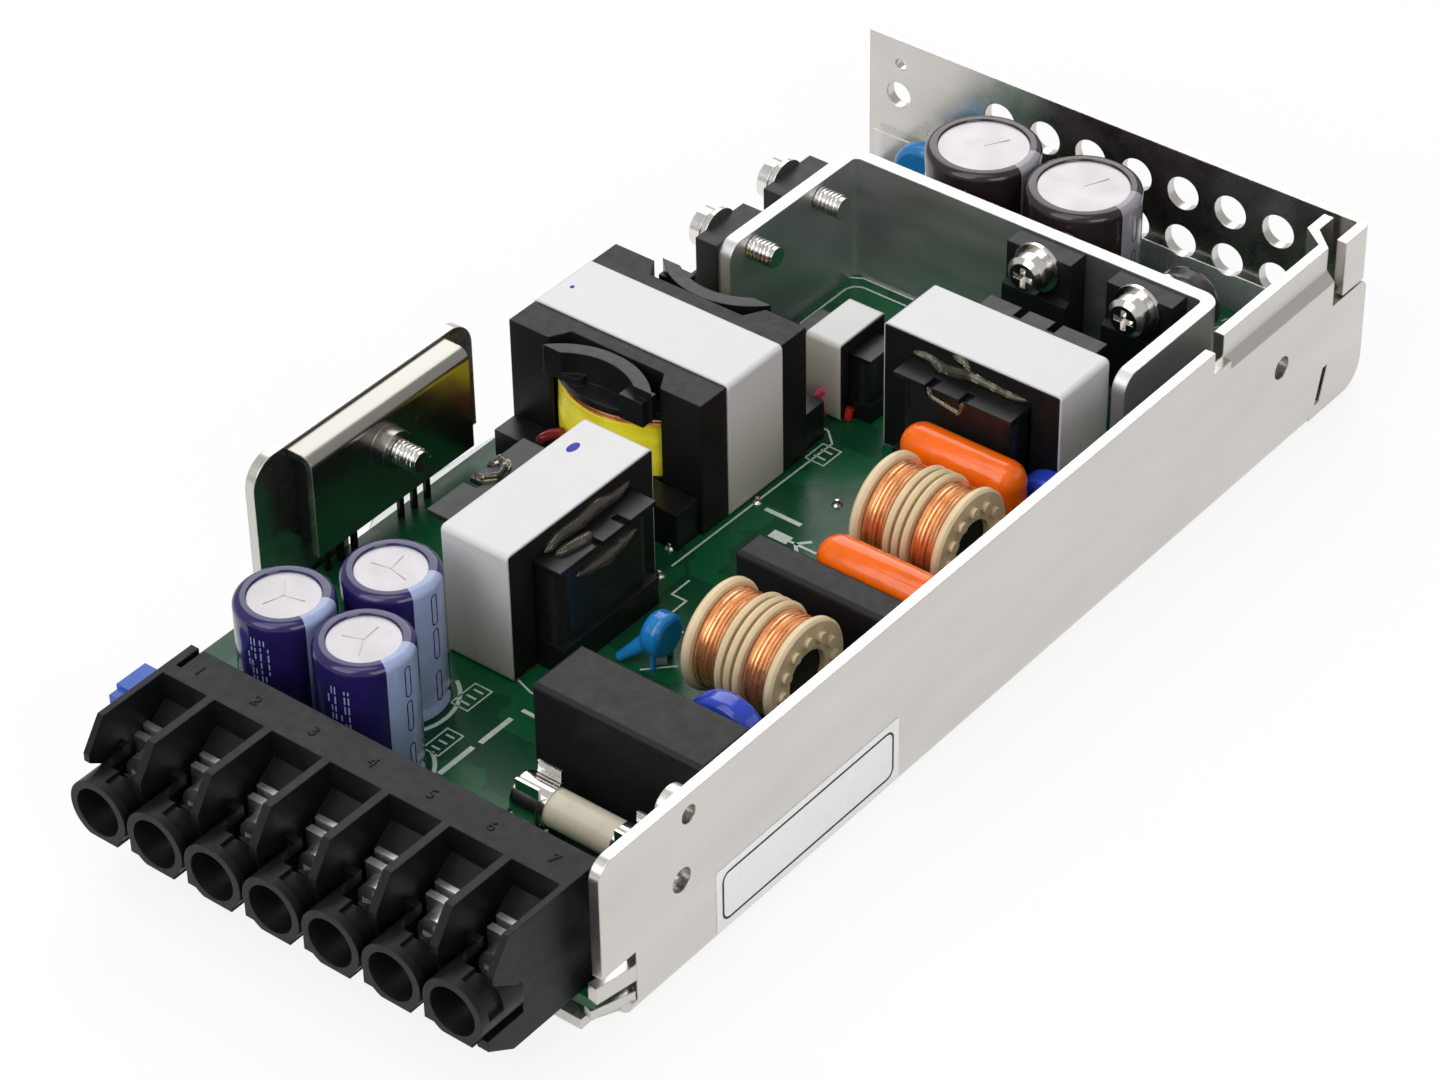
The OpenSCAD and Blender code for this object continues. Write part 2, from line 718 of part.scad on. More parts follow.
module output_choke_place() {
    on_board(output_choke_at[0], output_choke_at[1]) translate([0, 0, tape_t]) rotate([0, 0, 90]) children();
}

module output_choke_core() color("#2b2b2b") output_choke_place()
    window_core(choke_core_l, choke_core_w, choke_core_h, choke_leg, choke_post, choke_plate);

module output_choke_bobbin() color("#3a3b3c") output_choke_place() window_bobbin(
    choke_core_l, choke_core_w, choke_core_h, choke_leg, choke_post, choke_plate,
    choke_front, choke_rear, tape_t, -choke_notches);

module output_choke_winding() color("#1f1f20") output_choke_place() window_winding(
    choke_core_l, choke_core_w, choke_core_h, choke_leg, choke_post, choke_plate, choke_front);

module output_choke_tape() color("WhiteSmoke") output_choke_place()
    tape_loop(choke_core_l, choke_tape_w, choke_core_h);

module boost_choke_place() {
    on_board(boost_choke_at[0], boost_choke_at[1]) translate([0, 0, tape_t]) children();
}

module boost_choke_core() color("#2b2b2b") boost_choke_place()
    window_core(choke_core_l, choke_core_w, choke_core_h, choke_leg, choke_post, choke_plate);

module boost_choke_bobbin() color("#3a3b3c") boost_choke_place() window_bobbin(
    choke_core_l, choke_core_w, choke_core_h, choke_leg, choke_post, choke_plate,
    choke_front, choke_rear, tape_t, choke_notches);

module boost_choke_winding() color("#1f1f20") boost_choke_place() window_winding(
    choke_core_l, choke_core_w, choke_core_h, choke_leg, choke_post, choke_plate, choke_front);

module boost_choke_tape() color("WhiteSmoke") boost_choke_place()
    tape_loop(choke_core_l, choke_tape_w, choke_core_h);

module drive_place() {
    on_board(drive_at[0], drive_at[1]) translate([0, 0, tape_t]) rotate([0, 0, 90]) children();
}

module drive_transformer_core() color("#2b2b2b") drive_place()
    window_core(drive_core_l, drive_core_w, drive_core_h, drive_leg, drive_post, drive_plate);

module drive_transformer_bobbin() color("#3a3b3c") drive_place() window_bobbin(
    drive_core_l, drive_core_w, drive_core_h, drive_leg, drive_post, drive_plate,
    drive_flange, drive_flange, tape_t, []);

module drive_transformer_winding() color("#1f1f20") drive_place() window_winding(
    drive_core_l, drive_core_w, drive_core_h, drive_leg, drive_post, drive_plate, drive_flange);

module drive_transformer_tape() color("WhiteSmoke") drive_place()
    tape_loop(drive_core_l, drive_core_w - 0.2, drive_core_h);

module main_place() {
    on_board(main_at[0], main_at[1]) translate([0, 0, tape_t]) children();
}

// Core with a round centre post, cut back at the front and rear of both plates
module main_transformer_core() color("#262627") main_place() difference() {
    translate([-main_core_l / 2, -main_core_w / 2, 0]) cube([main_core_l, main_core_w, main_core_h]);
    for (s = [0, 180]) rotate([0, 0, s]) translate([0, -main_core_w / 2, -1])
        linear_extrude(main_core_h + 2) polygon([
            [-mouth_w / 2, -1], [mouth_w / 2, -1], [mouth_in_w / 2, mouth_l], [-mouth_in_w / 2, mouth_l],
        ]);
    translate([0, 0, main_plate]) difference() {
        cylinder(d = main_space_d, h = main_core_h - 2 * main_plate);
        translate([0, 0, -1]) cylinder(d = main_post_d, h = main_core_h);
    }
}

// Upright band in the cut-back of the core, with a hooked arm at one end and a pad at the other
module wire_guide() {
    translate([0, 0, guide_low]) linear_extrude(guide_top - guide_low) intersection() {
        translate([0, -guide_back - guide_r]) difference() {
            circle(guide_r);
            circle(guide_r - guide_t);
        }
        translate([-guide_r, -guide_front]) square([2 * guide_r, guide_front]);
    }
    translate([8.2 - guide_arm[0], -guide_front - guide_t / 2, guide_low - 0.6]) cube(guide_arm);
    translate([-guide_arm[0] - 3, -guide_front, guide_low])
        linear_extrude(guide_pad[2]) round_rect(guide_pad[0], guide_pad[1], 1);
}

module main_transformer_bobbin() color("#303132") main_place() {
    flange_d = main_space_d - 0.6;
    difference() {
        union() {
            for (a = [0, 180]) rotate([0, 0, a]) wire_guide();
            for (z = [main_plate + 0.1, main_core_h - main_plate - 1.1]) translate([0, 0, z])
                cylinder(d = flange_d, h = 1);
            translate([0, 0, main_plate + 0.1])
                cylinder(d = main_post_d + 2, h = main_core_h - 2 * main_plate - 0.2);
            for (s = [-1, 1]) translate([-main_core_l / 2 + 0.6, s * (main_core_w / 2 + 2.4) - 2.2, -tape_t])
                cube([main_core_l - 1.2, 4.4, main_plate + 1.1 + tape_t]);
        }
        translate([0, 0, -1]) cylinder(d = main_post_d + 0.3, h = main_core_h);
    }
}

module main_transformer_winding() color("#e2c33c") main_place() {
    translate([0, 0, main_plate + 1.1]) difference() {
        cylinder(d = main_winding_d, h = main_core_h - 2 * main_plate - 2.2);
        translate([0, 0, -1]) cylinder(d = main_post_d + 2, h = main_core_h);
    }
}

module main_transformer_tape() color("WhiteSmoke") main_place()
    tape_loop(main_core_l, main_tape_w, main_core_h);

// Plan of the bent plate; outer corner at the rear left
module sink_plan() {
    translate([0, sink_bend]) square([sink_t, sink_left_l - sink_bend]);
    translate([sink_bend, 0]) square([sink_l - 2 * sink_bend, sink_t]);
    translate([sink_l - sink_t, sink_bend]) square([sink_t, sink_right_l - sink_bend]);
    translate([sink_bend, sink_bend]) mirror([1, 0]) quarter_ring(sink_bend, sink_bend - sink_t);
    translate([sink_l - sink_bend, sink_bend]) quarter_ring(sink_bend, sink_bend - sink_t);
}

module sink_place() {
    on_board(sink_x0, sink_y1) children();
}

module heatsink() color("#cfd0d2") sink_place() difference() {
    mirror([0, 1, 0]) linear_extrude(sink_h) sink_plan();
    for (p = [[-1, sink_left_l], [sink_l - sink_t - 1, sink_right_l]]) along_x(p[0], p[0] + sink_t + 2)
        translate([-p[1] + sink_corner_r, sink_h - sink_corner_r]) mirror([1, 0]) corner_cut(sink_corner_r);
    for (x = switch_x) translate([x, 0, package_hole_z])
        rod_y(package_screw_d + 0.2, -sink_t - 1, 1);
    for (y = diode_y) translate([0, y - sink_left_l, package_hole_z])
        rod_x(package_screw_d + 0.2, -1, sink_t + 1);
}

// Three-lead package, back face on Y = 0, leads down to the board
module package() {
    difference() {
        along_y(-package_t, 0) translate([-package_w / 2, package_z]) square([package_w, package_h]);
        translate([0, 0, package_hole_z]) rod_y(package_hole_d, -9, 9);
        along_x(-9, 9) polygon([
            [-package_t - 1, package_hole_z - 4.6], [-package_t + 1, package_hole_z - 3.8],
            [-package_t + 1, 99], [-package_t - 1, 99]
        ]);
    }
    for (i = [-1:1]) translate([i * lead_pitch - 0.4, -package_t / 2 - 0.3, 0])
        cube([0.8, 0.6, package_z + e]);
}

module switch_transistor(i) color("#232324") sink_place() translate([switch_x[i], -sink_t, 0]) package();

module power_diode(i) color("#232324") sink_place()
    translate([0, diode_y[i] - sink_left_l, 0]) rotate([0, 0, -90]) package();

// Washers and screw of one package; the head stands away from the plate along -Y
module package_washers() {
    translate([0, 0, package_hole_z]) difference() {
        union() {
            rod_y(washer_d, -package_t + 1 - washer_t, -package_t + 1);
            rod_y(spring_d, -package_t + 1 - washer_t - spring_t, -package_t + 1 - washer_t + e);
        }
        rod_y(package_screw_d + 0.3, -20, 9);
    }
}

module package_screw(reach) {
    head_y = -package_t + 1 - washer_t - spring_t;
    translate([0, 0, package_hole_z]) difference() {
        union() {
            rod_y(package_screw_d, head_y - e, reach);
            rod_y(head_d, head_y - head_h + 0.6, head_y);
            translate([0, head_y - head_h + 0.6 + e, 0]) rotate([90, 0, 0])
                cylinder(d1 = head_d, d2 = head_d - 1.4, h = 0.6);
        }
        for (a = [0, 90]) rotate([0, a, 0]) translate([-1.5, head_y - head_h - 1, -0.4])
            cube([3, 2.2, 0.8]);
    }
}

switch_screw_end = 1.4;
diode_screw_end = 4.2;

module heatsink_screws() color("Silver") sink_place() {
    for (x = switch_x) translate([x, -sink_t, 0]) package_screw(sink_t + switch_screw_end);
    for (y = diode_y) translate([0, y - sink_left_l, 0]) rotate([0, 0, -90])
        package_screw(sink_t + diode_screw_end);
}

module heatsink_washers() color("Gainsboro") sink_place() {
    for (x = switch_x) translate([x, -sink_t, 0]) package_washers();
    for (y = diode_y) translate([0, y - sink_left_l, 0]) rotate([0, 0, -90]) package_washers();
}

// Line filter: spool axis along X, standing on two feet
filter_bore_d = 7;
filter_core_d = 9.2;
filter_flange_t = 1.3;
filter_rib_t = 0.9;
filter_rib_step = 1.35;
filter_mid = 2 * filter_rib_step + filter_rib_t;
filter_rim = 0.35;
filter_foot = 3;
winding_d = spool_d - 2.4;
peg_d = 1.5;
peg_h = 0.6;
peg_at = 5.1;
peg_turn = 30;

module filter_place(i) {
    on_board(spool_at[i][0], spool_at[i][1]) translate([0, 0, spool_d / 2 + 0.3]) children();
}

// Flange with a bevelled rim
module rim_disc(x0, t) {
    r = spool_d / 2;
    in = r - filter_rim;
    translate([x0, 0, 0]) rotate([0, 90, 0]) rotate_extrude()
        polygon([[0, 0], [in, 0], [r, filter_rim], [r, t - filter_rim], [in, t], [0, t]]);
}

module line_filter_spool(i) color("#e9e2cf") filter_place(i) difference() {
    union() {
        rod_x(filter_core_d, 0, spool_l);
        for (x = [0, spool_l - filter_flange_t]) rim_disc(x, filter_flange_t);
        for (s = [-1:1]) rim_disc(spool_l / 2 + s * filter_rib_step - filter_rib_t / 2, filter_rib_t);
        for (x = [0, spool_l - filter_flange_t]) translate([x, -filter_foot, -spool_d / 2 - 0.3])
            cube([filter_flange_t, 2 * filter_foot, 3]);
        for (a = [0:peg_turn:359], x = [-peg_h, spool_l - e]) rotate([a, 0, 0]) translate([x, 0, peg_at])
            rod_x(peg_d, 0, peg_h + e);
    }
    rod_x(filter_bore_d, -1, spool_l + 1);
}

module line_filter_winding(i) color("#b5642f") filter_place(i) {
    half = spool_l / 2 - filter_mid / 2;
    for (x = [filter_flange_t, spool_l - half]) translate([x, 0, 0]) difference() {
        rod_x(winding_d, 0, half - filter_flange_t);
        rod_x(filter_core_d, -1, half + 1);
    }
}

module line_filter_core(i) color("#2a2a2b") filter_place(i)
    rod_x(filter_bore_d - 0.1, 0.8, spool_l - 0.8);

// Box with all its edges rounded
module soft_box(l, w, h, r) {
    intersection() {
        along_y(0, w) round_rect(l, h, r);
        along_x(0, l) round_rect(w, h, r);
        linear_extrude(h) round_rect(l, w, r);
    }
}

// Dipped capacitor with soft edges on two leads
module dipped(l, w, h, r) {
    translate([0, 0, 0.8]) soft_box(l, w, h, r);
    for (x = [l / 6, l * 5 / 6]) translate([x, w / 2, 0]) cylinder(d = 0.8, h = h / 2);
}

module film_capacitor(i) color("#c9702e") on_board(film_cap_at[i][0], film_cap_at[i][1])
    dipped(film_cap_l, film_cap_w, film_cap_h - 0.8, film_cap_r);

// Moulded box with small feet
module boxed(l, w, h, r) {
    translate([0, 0, 0.4]) soft_box(l, w, h - 0.4, r);
    for (x = [1, l - 3], y = [1, w - 2]) translate([x, y, 0]) cube([2, 1, 0.8]);
}

module box_capacitor(i) color("#2c2c2d") on_board(box_cap_at[i][0], box_cap_at[i][1])
    boxed(box_cap_size[i][0], box_cap_size[i][1], box_cap_h[i], box_cap_r);

// Fuse along X in two spring clips
fuse_x = 13;
fuse_y = 19.4;
fuse_l = 20;
fuse_z = 4.4;
fuse_d = 4.9;
fuse_cap_d = 5.4;
fuse_cap_l = 5;
clip_t = 0.4;
clip_l = 3.6;

module fuse_place() {
    on_board(fuse_x, fuse_y) translate([0, 0, fuse_z]) children();
}

module fuse_tube() color("#e8dfca") fuse_place() rod_x(fuse_d, 0.4, fuse_l - 0.4);

module fuse_caps() color("Silver") fuse_place() for (s = [0, 1]) difference() {
    rod_x(fuse_cap_d, s * (fuse_l - fuse_cap_l), s * (fuse_l - fuse_cap_l) + fuse_cap_l);
    rod_x(fuse_d, 0.4, fuse_l - 0.4);
}

module clip_profile() {
    r = fuse_cap_d / 2 + 0.1;
    difference() {
        circle(r + clip_t);
        circle(r);
        translate([-1.8, 0]) square([3.6, 9]);
    }
    translate([-0.9, -fuse_z]) square([1.8, fuse_z - r - clip_t / 2]);
    translate([-r, -fuse_z]) square([2 * r, 0.5]);
    for (s = [-1, 1]) translate([s * 2.05 - clip_t / 2, 2]) square([clip_t, 1.8]);
}

module fuse_clips() color("Silver") fuse_place()
    for (x = [0.7, fuse_l - 0.7 - clip_l]) along_x(x, x + clip_l) clip_profile();

// Coated disc with its axis along Y on two leads
module disc(d, t, pitch, lift) {
    translate([0, 0, d / 2 + lift]) rotate([90, 0, 0]) rotate_extrude() {
        translate([0, -t / 2]) square([d / 2 - t / 3, t]);
        translate([0, -t / 6]) square([d / 2, t / 3]);
        for (s = [-1, 1]) translate([d / 2 - t / 3, s * t / 6]) circle(t / 3);
    }
    for (s = [-1, 1]) translate([s * pitch / 2, 0, 0]) cylinder(d = 0.8, h = lift + d / 3);
}

module varistor(i) color("#2f56b8") on_board(varistor_at[i][0], varistor_at[i][1])
    disc(varistor_d[i], 4.2, 5, 0.5);

// Tapered coating that runs down a lead from the middle of the first disc
module coated_lead(run) {
    translate([0, 0, disc_cap_d[0] / 2 + disc_cap_lift])
        rotate([0, acos(run[2] / norm(run)), atan2(run[1], run[0])])
            cylinder(d1 = 3, d2 = 1.2, h = norm(run));
}

module disc_capacitor(i) color("#7fa9d6") on_board(disc_cap_at[i][0], disc_cap_at[i][1]) {
    rotate([0, 0, disc_cap_turn[i]]) disc(disc_cap_d[i], 3, 3.4, disc_cap_lift);
    if (i == 0) coated_lead(disc_cap_tail);
}

module thermistor() color("#4a4b4a") on_board(thermistor_at[0], thermistor_at[1])
    disc(10, 4.6, 5, 0.6);

module clamp_plate() color("#d8d8d6") placed() difference() {
    union() {
        along_y(clamp_y0, clamp_y0 + clamp_l) {
            translate([clamp_x, clamp_low]) square([clamp_t, clamp_top - clamp_low - clamp_t - 0.6]);
            translate([tab_in + 0.1, clamp_top - clamp_t])
                square([clamp_x - tab_in - 0.1 - 0.6, clamp_t]);
            translate([clamp_x - 0.6, clamp_top - clamp_t - 0.6]) mirror([0, 1])
                quarter_ring(clamp_t + 0.6, 0.6);
        }
        translate([0, clamp_screw_y, clamp_screw_z])
            rod_x(clamp_screw_d + 2.6, clamp_x + clamp_t - e, clamp_x + clamp_t + 2.2);
    }
    translate([0, clamp_screw_y, clamp_screw_z]) rod_x(clamp_screw_d + 0.2, clamp_x - 1, clamp_x + 9);
}

module clamp_screw() color("Silver") placed() translate([0, clamp_screw_y, clamp_screw_z]) difference() {
    union() {
        rod_x(clamp_screw_d, -wall_out, clamp_x + clamp_t + clamp_screw_reach);
        translate([-wall_out, 0, 0]) rotate([0, 90, 0]) cylinder(d1 = 5.4, d2 = clamp_screw_d, h = 1.15);
    }
    for (a = [0, 90]) rotate([a, 0, 0]) translate([-wall_out - 1, -1.4, -0.35]) cube([1.8, 2.8, 0.7]);
}

module output_rectifiers() color("#232324") placed() for (y = rectifier_y) {
    translate([tab_in, y, clamp_low + 0.6])
        cube([rectifier_t, package_w, clamp_top - clamp_t - 1.6 - clamp_low]);
    for (i = [-1:1])
        translate([tab_in + rectifier_t / 2 - 0.1, y + package_w / 2 - 0.4 + i * lead_pitch, board_top])
            cube([0.6, 0.8, clamp_low + 0.7 - board_top]);
}

chassis_floor();
chassis_walls();
insulation_film();
circuit_board();
board_screws();
terminal_block();
terminal_plates();
terminal_clamps();
terminal_screws();
trimmer_body();
trimmer_rotor();
for (i = [0:2]) output_capacitor(i);
for (i = [0:1]) bulk_capacitor(i);
output_choke_core();
output_choke_bobbin();
output_choke_winding();
output_choke_tape();
main_transformer_core();
main_transformer_bobbin();
main_transformer_winding();
main_transformer_tape();
boost_choke_core();
boost_choke_bobbin();
boost_choke_winding();
boost_choke_tape();
drive_transformer_core();
drive_transformer_bobbin();
drive_transformer_winding();
drive_transformer_tape();
heatsink();
for (i = [0:1]) switch_transistor(i);
for (i = [0:1]) power_diode(i);
heatsink_screws();
heatsink_washers();
for (i = [0:1]) line_filter_spool(i);
for (i = [0:1]) line_filter_winding(i);
for (i = [0:1]) line_filter_core(i);
for (i = [0:1]) film_capacitor(i);
for (i = [0:1]) box_capacitor(i);
fuse_tube();
fuse_caps();
fuse_clips();
for (i = [0:1]) varistor(i);
for (i = [0:1]) disc_capacitor(i);
thermistor();
clamp_plate();
clamp_screw();
output_rectifiers();
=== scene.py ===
"""Looks of a switching power supply without its cover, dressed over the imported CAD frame.

Lengths in this script are millimetres. X and Z are the frame's own; Y is measured from the
front edge of the chassis, so that the terminals lie at negative Y and the rear wall near 160.
"""

import math
import random

import bmesh
import bpy
from mathutils import Euler, Matrix, Vector


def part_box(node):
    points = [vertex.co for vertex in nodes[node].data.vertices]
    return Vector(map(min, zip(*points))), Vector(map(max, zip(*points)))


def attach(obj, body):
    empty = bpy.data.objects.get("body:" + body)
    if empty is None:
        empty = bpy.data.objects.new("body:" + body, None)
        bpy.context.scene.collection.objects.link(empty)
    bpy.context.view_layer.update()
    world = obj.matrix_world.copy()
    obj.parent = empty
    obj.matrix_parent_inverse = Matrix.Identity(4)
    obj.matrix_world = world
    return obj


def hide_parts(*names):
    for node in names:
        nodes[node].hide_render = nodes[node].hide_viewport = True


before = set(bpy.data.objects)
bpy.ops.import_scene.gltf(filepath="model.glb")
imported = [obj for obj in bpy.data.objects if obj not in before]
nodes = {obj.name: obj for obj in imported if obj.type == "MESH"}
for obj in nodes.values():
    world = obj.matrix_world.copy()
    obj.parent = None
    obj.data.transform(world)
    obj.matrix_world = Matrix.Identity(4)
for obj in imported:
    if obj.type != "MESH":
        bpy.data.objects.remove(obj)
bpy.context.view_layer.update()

MM = 0.001
FRONT = Vector((0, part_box("chassis_floor")[0].y / MM, 0))
random.seed(7)


def node_box(name):
    """Lowest and highest corner of a CAD node."""
    low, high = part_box(name)
    return low / MM - FRONT, high / MM - FRONT


def node_middle(name):
    """Middle of a CAD node's box."""
    low, high = node_box(name)
    return (low + high) / 2


BOARD_TOP = node_box("circuit_board")[1].z
WALL_X = node_box("chassis_walls")[1].x


# Shader nodes

def join(tree, socket, value):
    """Sets a socket to a constant or joins an output to it."""
    if isinstance(value, bpy.types.NodeSocket):
        tree.links.new(value, socket)
    else:
        socket.default_value = value


def math_node(tree, operation, *values):
    """Output of one operation on constants or outputs."""
    made = tree.nodes.new("ShaderNodeMath")
    made.operation = operation
    for socket, value in zip(made.inputs, values):
        join(tree, socket, value)
    return made.outputs[0]


def tint(colour, share=0.0):
    """A colour made lighter or darker by a share, with alpha."""
    return tuple(min(1.0, c * (1 + share)) for c in colour) + (1.0,)


class Surface:
    """One procedural material: a mottled colour, uneven gloss, fine grain and softened edges."""

    def __init__(self, name, colour, rough, metal=0.0, specular=0.5):
        self.material = bpy.data.materials.new(name)
        self.material.use_nodes = True
        self.tree = self.material.node_tree
        self.shader = self.tree.nodes["Principled BSDF"]
        self.colour = colour
        self.shader.inputs["Metallic"].default_value = metal
        self.shader.inputs["Specular IOR Level"].default_value = specular
        self.place = self.tree.nodes.new("ShaderNodeTexCoord").outputs["Object"]
        self.rough = rough
        self.normal = None

    def node(self, kind, **sockets):
        """A new node with its sockets set by name or joined to an output."""
        made = self.tree.nodes.new("ShaderNode" + kind)
        for name, value in sockets.items():
            join(self.tree, made.inputs[name], value)
        return made

    def feed(self, socket, output):
        """Joins an output to one of the shader's own sockets."""
        self.tree.links.new(output, self.shader.inputs[socket])
        return self

    def noise(self, size, detail=2.0, stretch=(1, 1, 1)):
        """Noise with features of about one size, longer along the stretched axes."""
        scaled = self.node("Mapping", Vector=self.place)
        scaled.inputs["Scale"].default_value = [1 / (size * MM * s) for s in stretch]
        spots = self.node("TexNoise", Vector=scaled.outputs[0], Scale=1.0, Detail=detail)
        return spots.outputs["Fac"]

    def span(self, value, start, end=(0.0, 1.0)):
        """A value mapped from one range to another and held at its ends."""
        made = self.node("MapRange", Value=value)
        made.inputs["From Min"].default_value, made.inputs["From Max"].default_value = start
        made.inputs["To Min"].default_value, made.inputs["To Max"].default_value = end
        return made.outputs["Result"]

    def height(self):
        """Height above the frame's zero, in metres."""
        return self.node("SeparateXYZ", Vector=self.place).outputs["Z"]

    def blend(self, factor, stops):
        """Colours along a ramp, as pairs of position and colour."""
        ramp = self.node("ValToRGB", Fac=factor)
        marks = ramp.color_ramp.elements
        while len(marks) < len(stops):
            marks.new(0.5)
        for mark, (at, colour) in zip(marks, stops):
            mark.position = at
            mark.color = colour
        return ramp.outputs["Color"]

    def mottle(self, share=0.1, size=4.0, stretch=(1, 1, 1)):
        """Colour that drifts by a share in patches of one size."""
        stops = [(0.3, tint(self.colour, -share)), (0.7, tint(self.colour, share))]
        return self.feed("Base Color", self.blend(self.noise(size, 4.0, stretch), stops))

    def gloss(self, spread=0.06, size=2.0, stretch=(1, 1, 1)):
        """Roughness that varies about its mean."""
        limits = (max(0.02, self.rough - spread), self.rough + spread)
        spots = self.noise(size, 3.0, stretch)
        return self.feed("Roughness", self.span(spots, (0.25, 0.75), limits))

    def edges(self, radius):
        """Sharp edges shaded as if rounded by a small radius."""
        self.normal = self.node("Bevel", Radius=radius * MM).outputs["Normal"]
        return self.feed("Normal", self.normal)

    def grain(self, depth, size, detail=3.0, stretch=(1, 1, 1)):
        """Fine relief of one depth and size."""
        relief = self.noise(size, detail, stretch)
        bump = self.node("Bump", Height=relief, Distance=depth * MM, Strength=1.0)
        if self.normal:
            join(self.tree, bump.inputs["Normal"], self.normal)
        self.normal = bump.outputs["Normal"]
        return self.feed("Normal", self.normal)

    def set(self, **sockets):
        """Constants on the shader's own sockets; spaces in a name are written as underscores."""
        for name, value in sockets.items():
            self.shader.inputs[name.replace("_", " ")].default_value = value
        return self


# Materials

def metal(name, colour, rough, grain=0.004, edge=0.15, stretch=(1, 1, 1)):
    """Plated or rolled metal."""
    made = Surface(name, colour, rough, metal=1.0)
    made.mottle(0.05, 6.0, stretch).gloss(0.05, 3.0, stretch)
    return made.edges(edge).grain(grain, 0.5, 3.0, stretch).material


def plastic(name, colour, rough, specular=0.35, grain=0.01, size=0.18, edge=0.2, share=0.12):
    """Moulded plastic with a fine spark-eroded grain."""
    made = Surface(name, colour, rough, specular=specular).mottle(share, 3.0).gloss(0.07, 1.5)
    return made.edges(edge).grain(grain, size).material


def resin(name, colour, share=0.08):
    """Dipped resin: glossy, a little wavy."""
    made = Surface(name, colour, 0.16, specular=0.36).mottle(share, 2.5).gloss(0.05, 2.0)
    return made.grain(0.05, 2.2, 1.0).set(Coat_Weight=0.25, Coat_Roughness=0.08).material


def print_ink(name, colour, share=0.12):
    """Printed ink or paper with uneven cover."""
    return Surface(name, colour, 0.55, specular=0.3).mottle(share, 0.6).gloss(0.06).material


TAPE_WHITE = (0.65, 0.65, 0.66)
# Painted shade: the tape's colour at the board, blended up to white over TAPE_FADE mm of height
TAPE_SHADE_AT_BOARD = (0.50, 0.50, 0.42)
TAPE_FADE = 18


def tape_material():
    """White polyester tape: glossy, with faint wrinkles, and painted shade that makes it greyer and
    yellower toward the board.
    """
    made = Surface("white_tape", TAPE_WHITE, 0.32, specular=0.40).gloss(0.06, 2.0)
    # Painted shade: greyer and yellower low down, near the board
    up = made.span(made.height(), (BOARD_TOP * MM, (BOARD_TOP + TAPE_FADE) * MM))
    made.feed("Base Color", made.blend(up, [(0.0, tint(TAPE_SHADE_AT_BOARD)), (0.95, tint(TAPE_WHITE))]))
    return made.edges(0.35).grain(0.02, 2.5, 2.0).material


MASK_BARE = (0.004, 0.055, 0.022)
MASK_COPPER = (0.006, 0.090, 0.032)
COPPER_AREA = 7


def board_material():
    """Green solder mask over copper areas that show a little lighter."""
    made = Surface("solder_mask", MASK_COPPER, 0.26, specular=0.24).gloss(0.05, 2.0)
    cells = made.node("TexVoronoi", Vector=made.place, Scale=1 / (COPPER_AREA * MM))
    cells.feature = "F1"
    cells.distance = "CHEBYCHEV"
    stops = [(0.42, tint(MASK_BARE)), (0.5, tint(MASK_COPPER))]
    made.feed("Base Color", made.blend(cells.outputs["Color"], stops))
    return made.edges(0.1).grain(0.01, 0.6).material


FILM_COVER = 0.13
# Painted highlight: cover of the film's upward faces above FILM_RAISED, so they show white
FILM_HIGHLIGHT_COVER = 0.85
FILM_RAISED = (2.5, 3.0)


def film_material():
    """Clear insulation film whose cut upper edges are made more opaque and whiter, a painted
    highlight where they catch the light.
    """
    made = Surface("clear_film", (0.86, 0.88, 0.90), 0.12, specular=0.5)
    made.mottle(0.04, 5.0).gloss(0.04)
    # Painted highlight: upward faces high on the film are made nearly opaque
    normal = made.node("NewGeometry").outputs["True Normal"]
    facing = made.node("SeparateXYZ", Vector=normal).outputs["Z"]
    raised = made.span(made.height(), [z * MM for z in FILM_RAISED])
    edge = math_node(made.tree, "MULTIPLY", facing, raised)
    cover = made.span(edge, (0.0, 1.0), (FILM_COVER, FILM_HIGHLIGHT_COVER))
    return made.feed("Alpha", cover).material


def wire_material():
    """Enamelled copper wire."""
    made = Surface("enamelled_wire", (0.92, 0.42, 0.18), 0.30, metal=0.85)
    made.mottle(0.15, 1.2).gloss(0.08, 0.8)
    return made.set(Coat_Weight=0.5, Coat_Roughness=0.15).material


def yellow_tape_material():
    """Yellow polyester tape with creases round the winding."""
    made = Surface("yellow_tape", (0.97, 0.80, 0.035), 0.28, specular=0.5)
    made.mottle(0.12, 2.0, (3, 3, 1)).gloss(0.08, 1.5)
    return made.grain(0.12, 1.6, 2.0, (4, 4, 1)).material


def glue_material():
    """Clear adhesive with a yellow cast."""
    made = Surface("clear_adhesive", (0.84, 0.79, 0.56), 0.07, specular=0.5)
    made.mottle(0.1, 1.0).gloss(0.04)
    return made.grain(0.15, 1.4, 1.0).set(Transmission_Weight=0.97, IOR=1.47).material


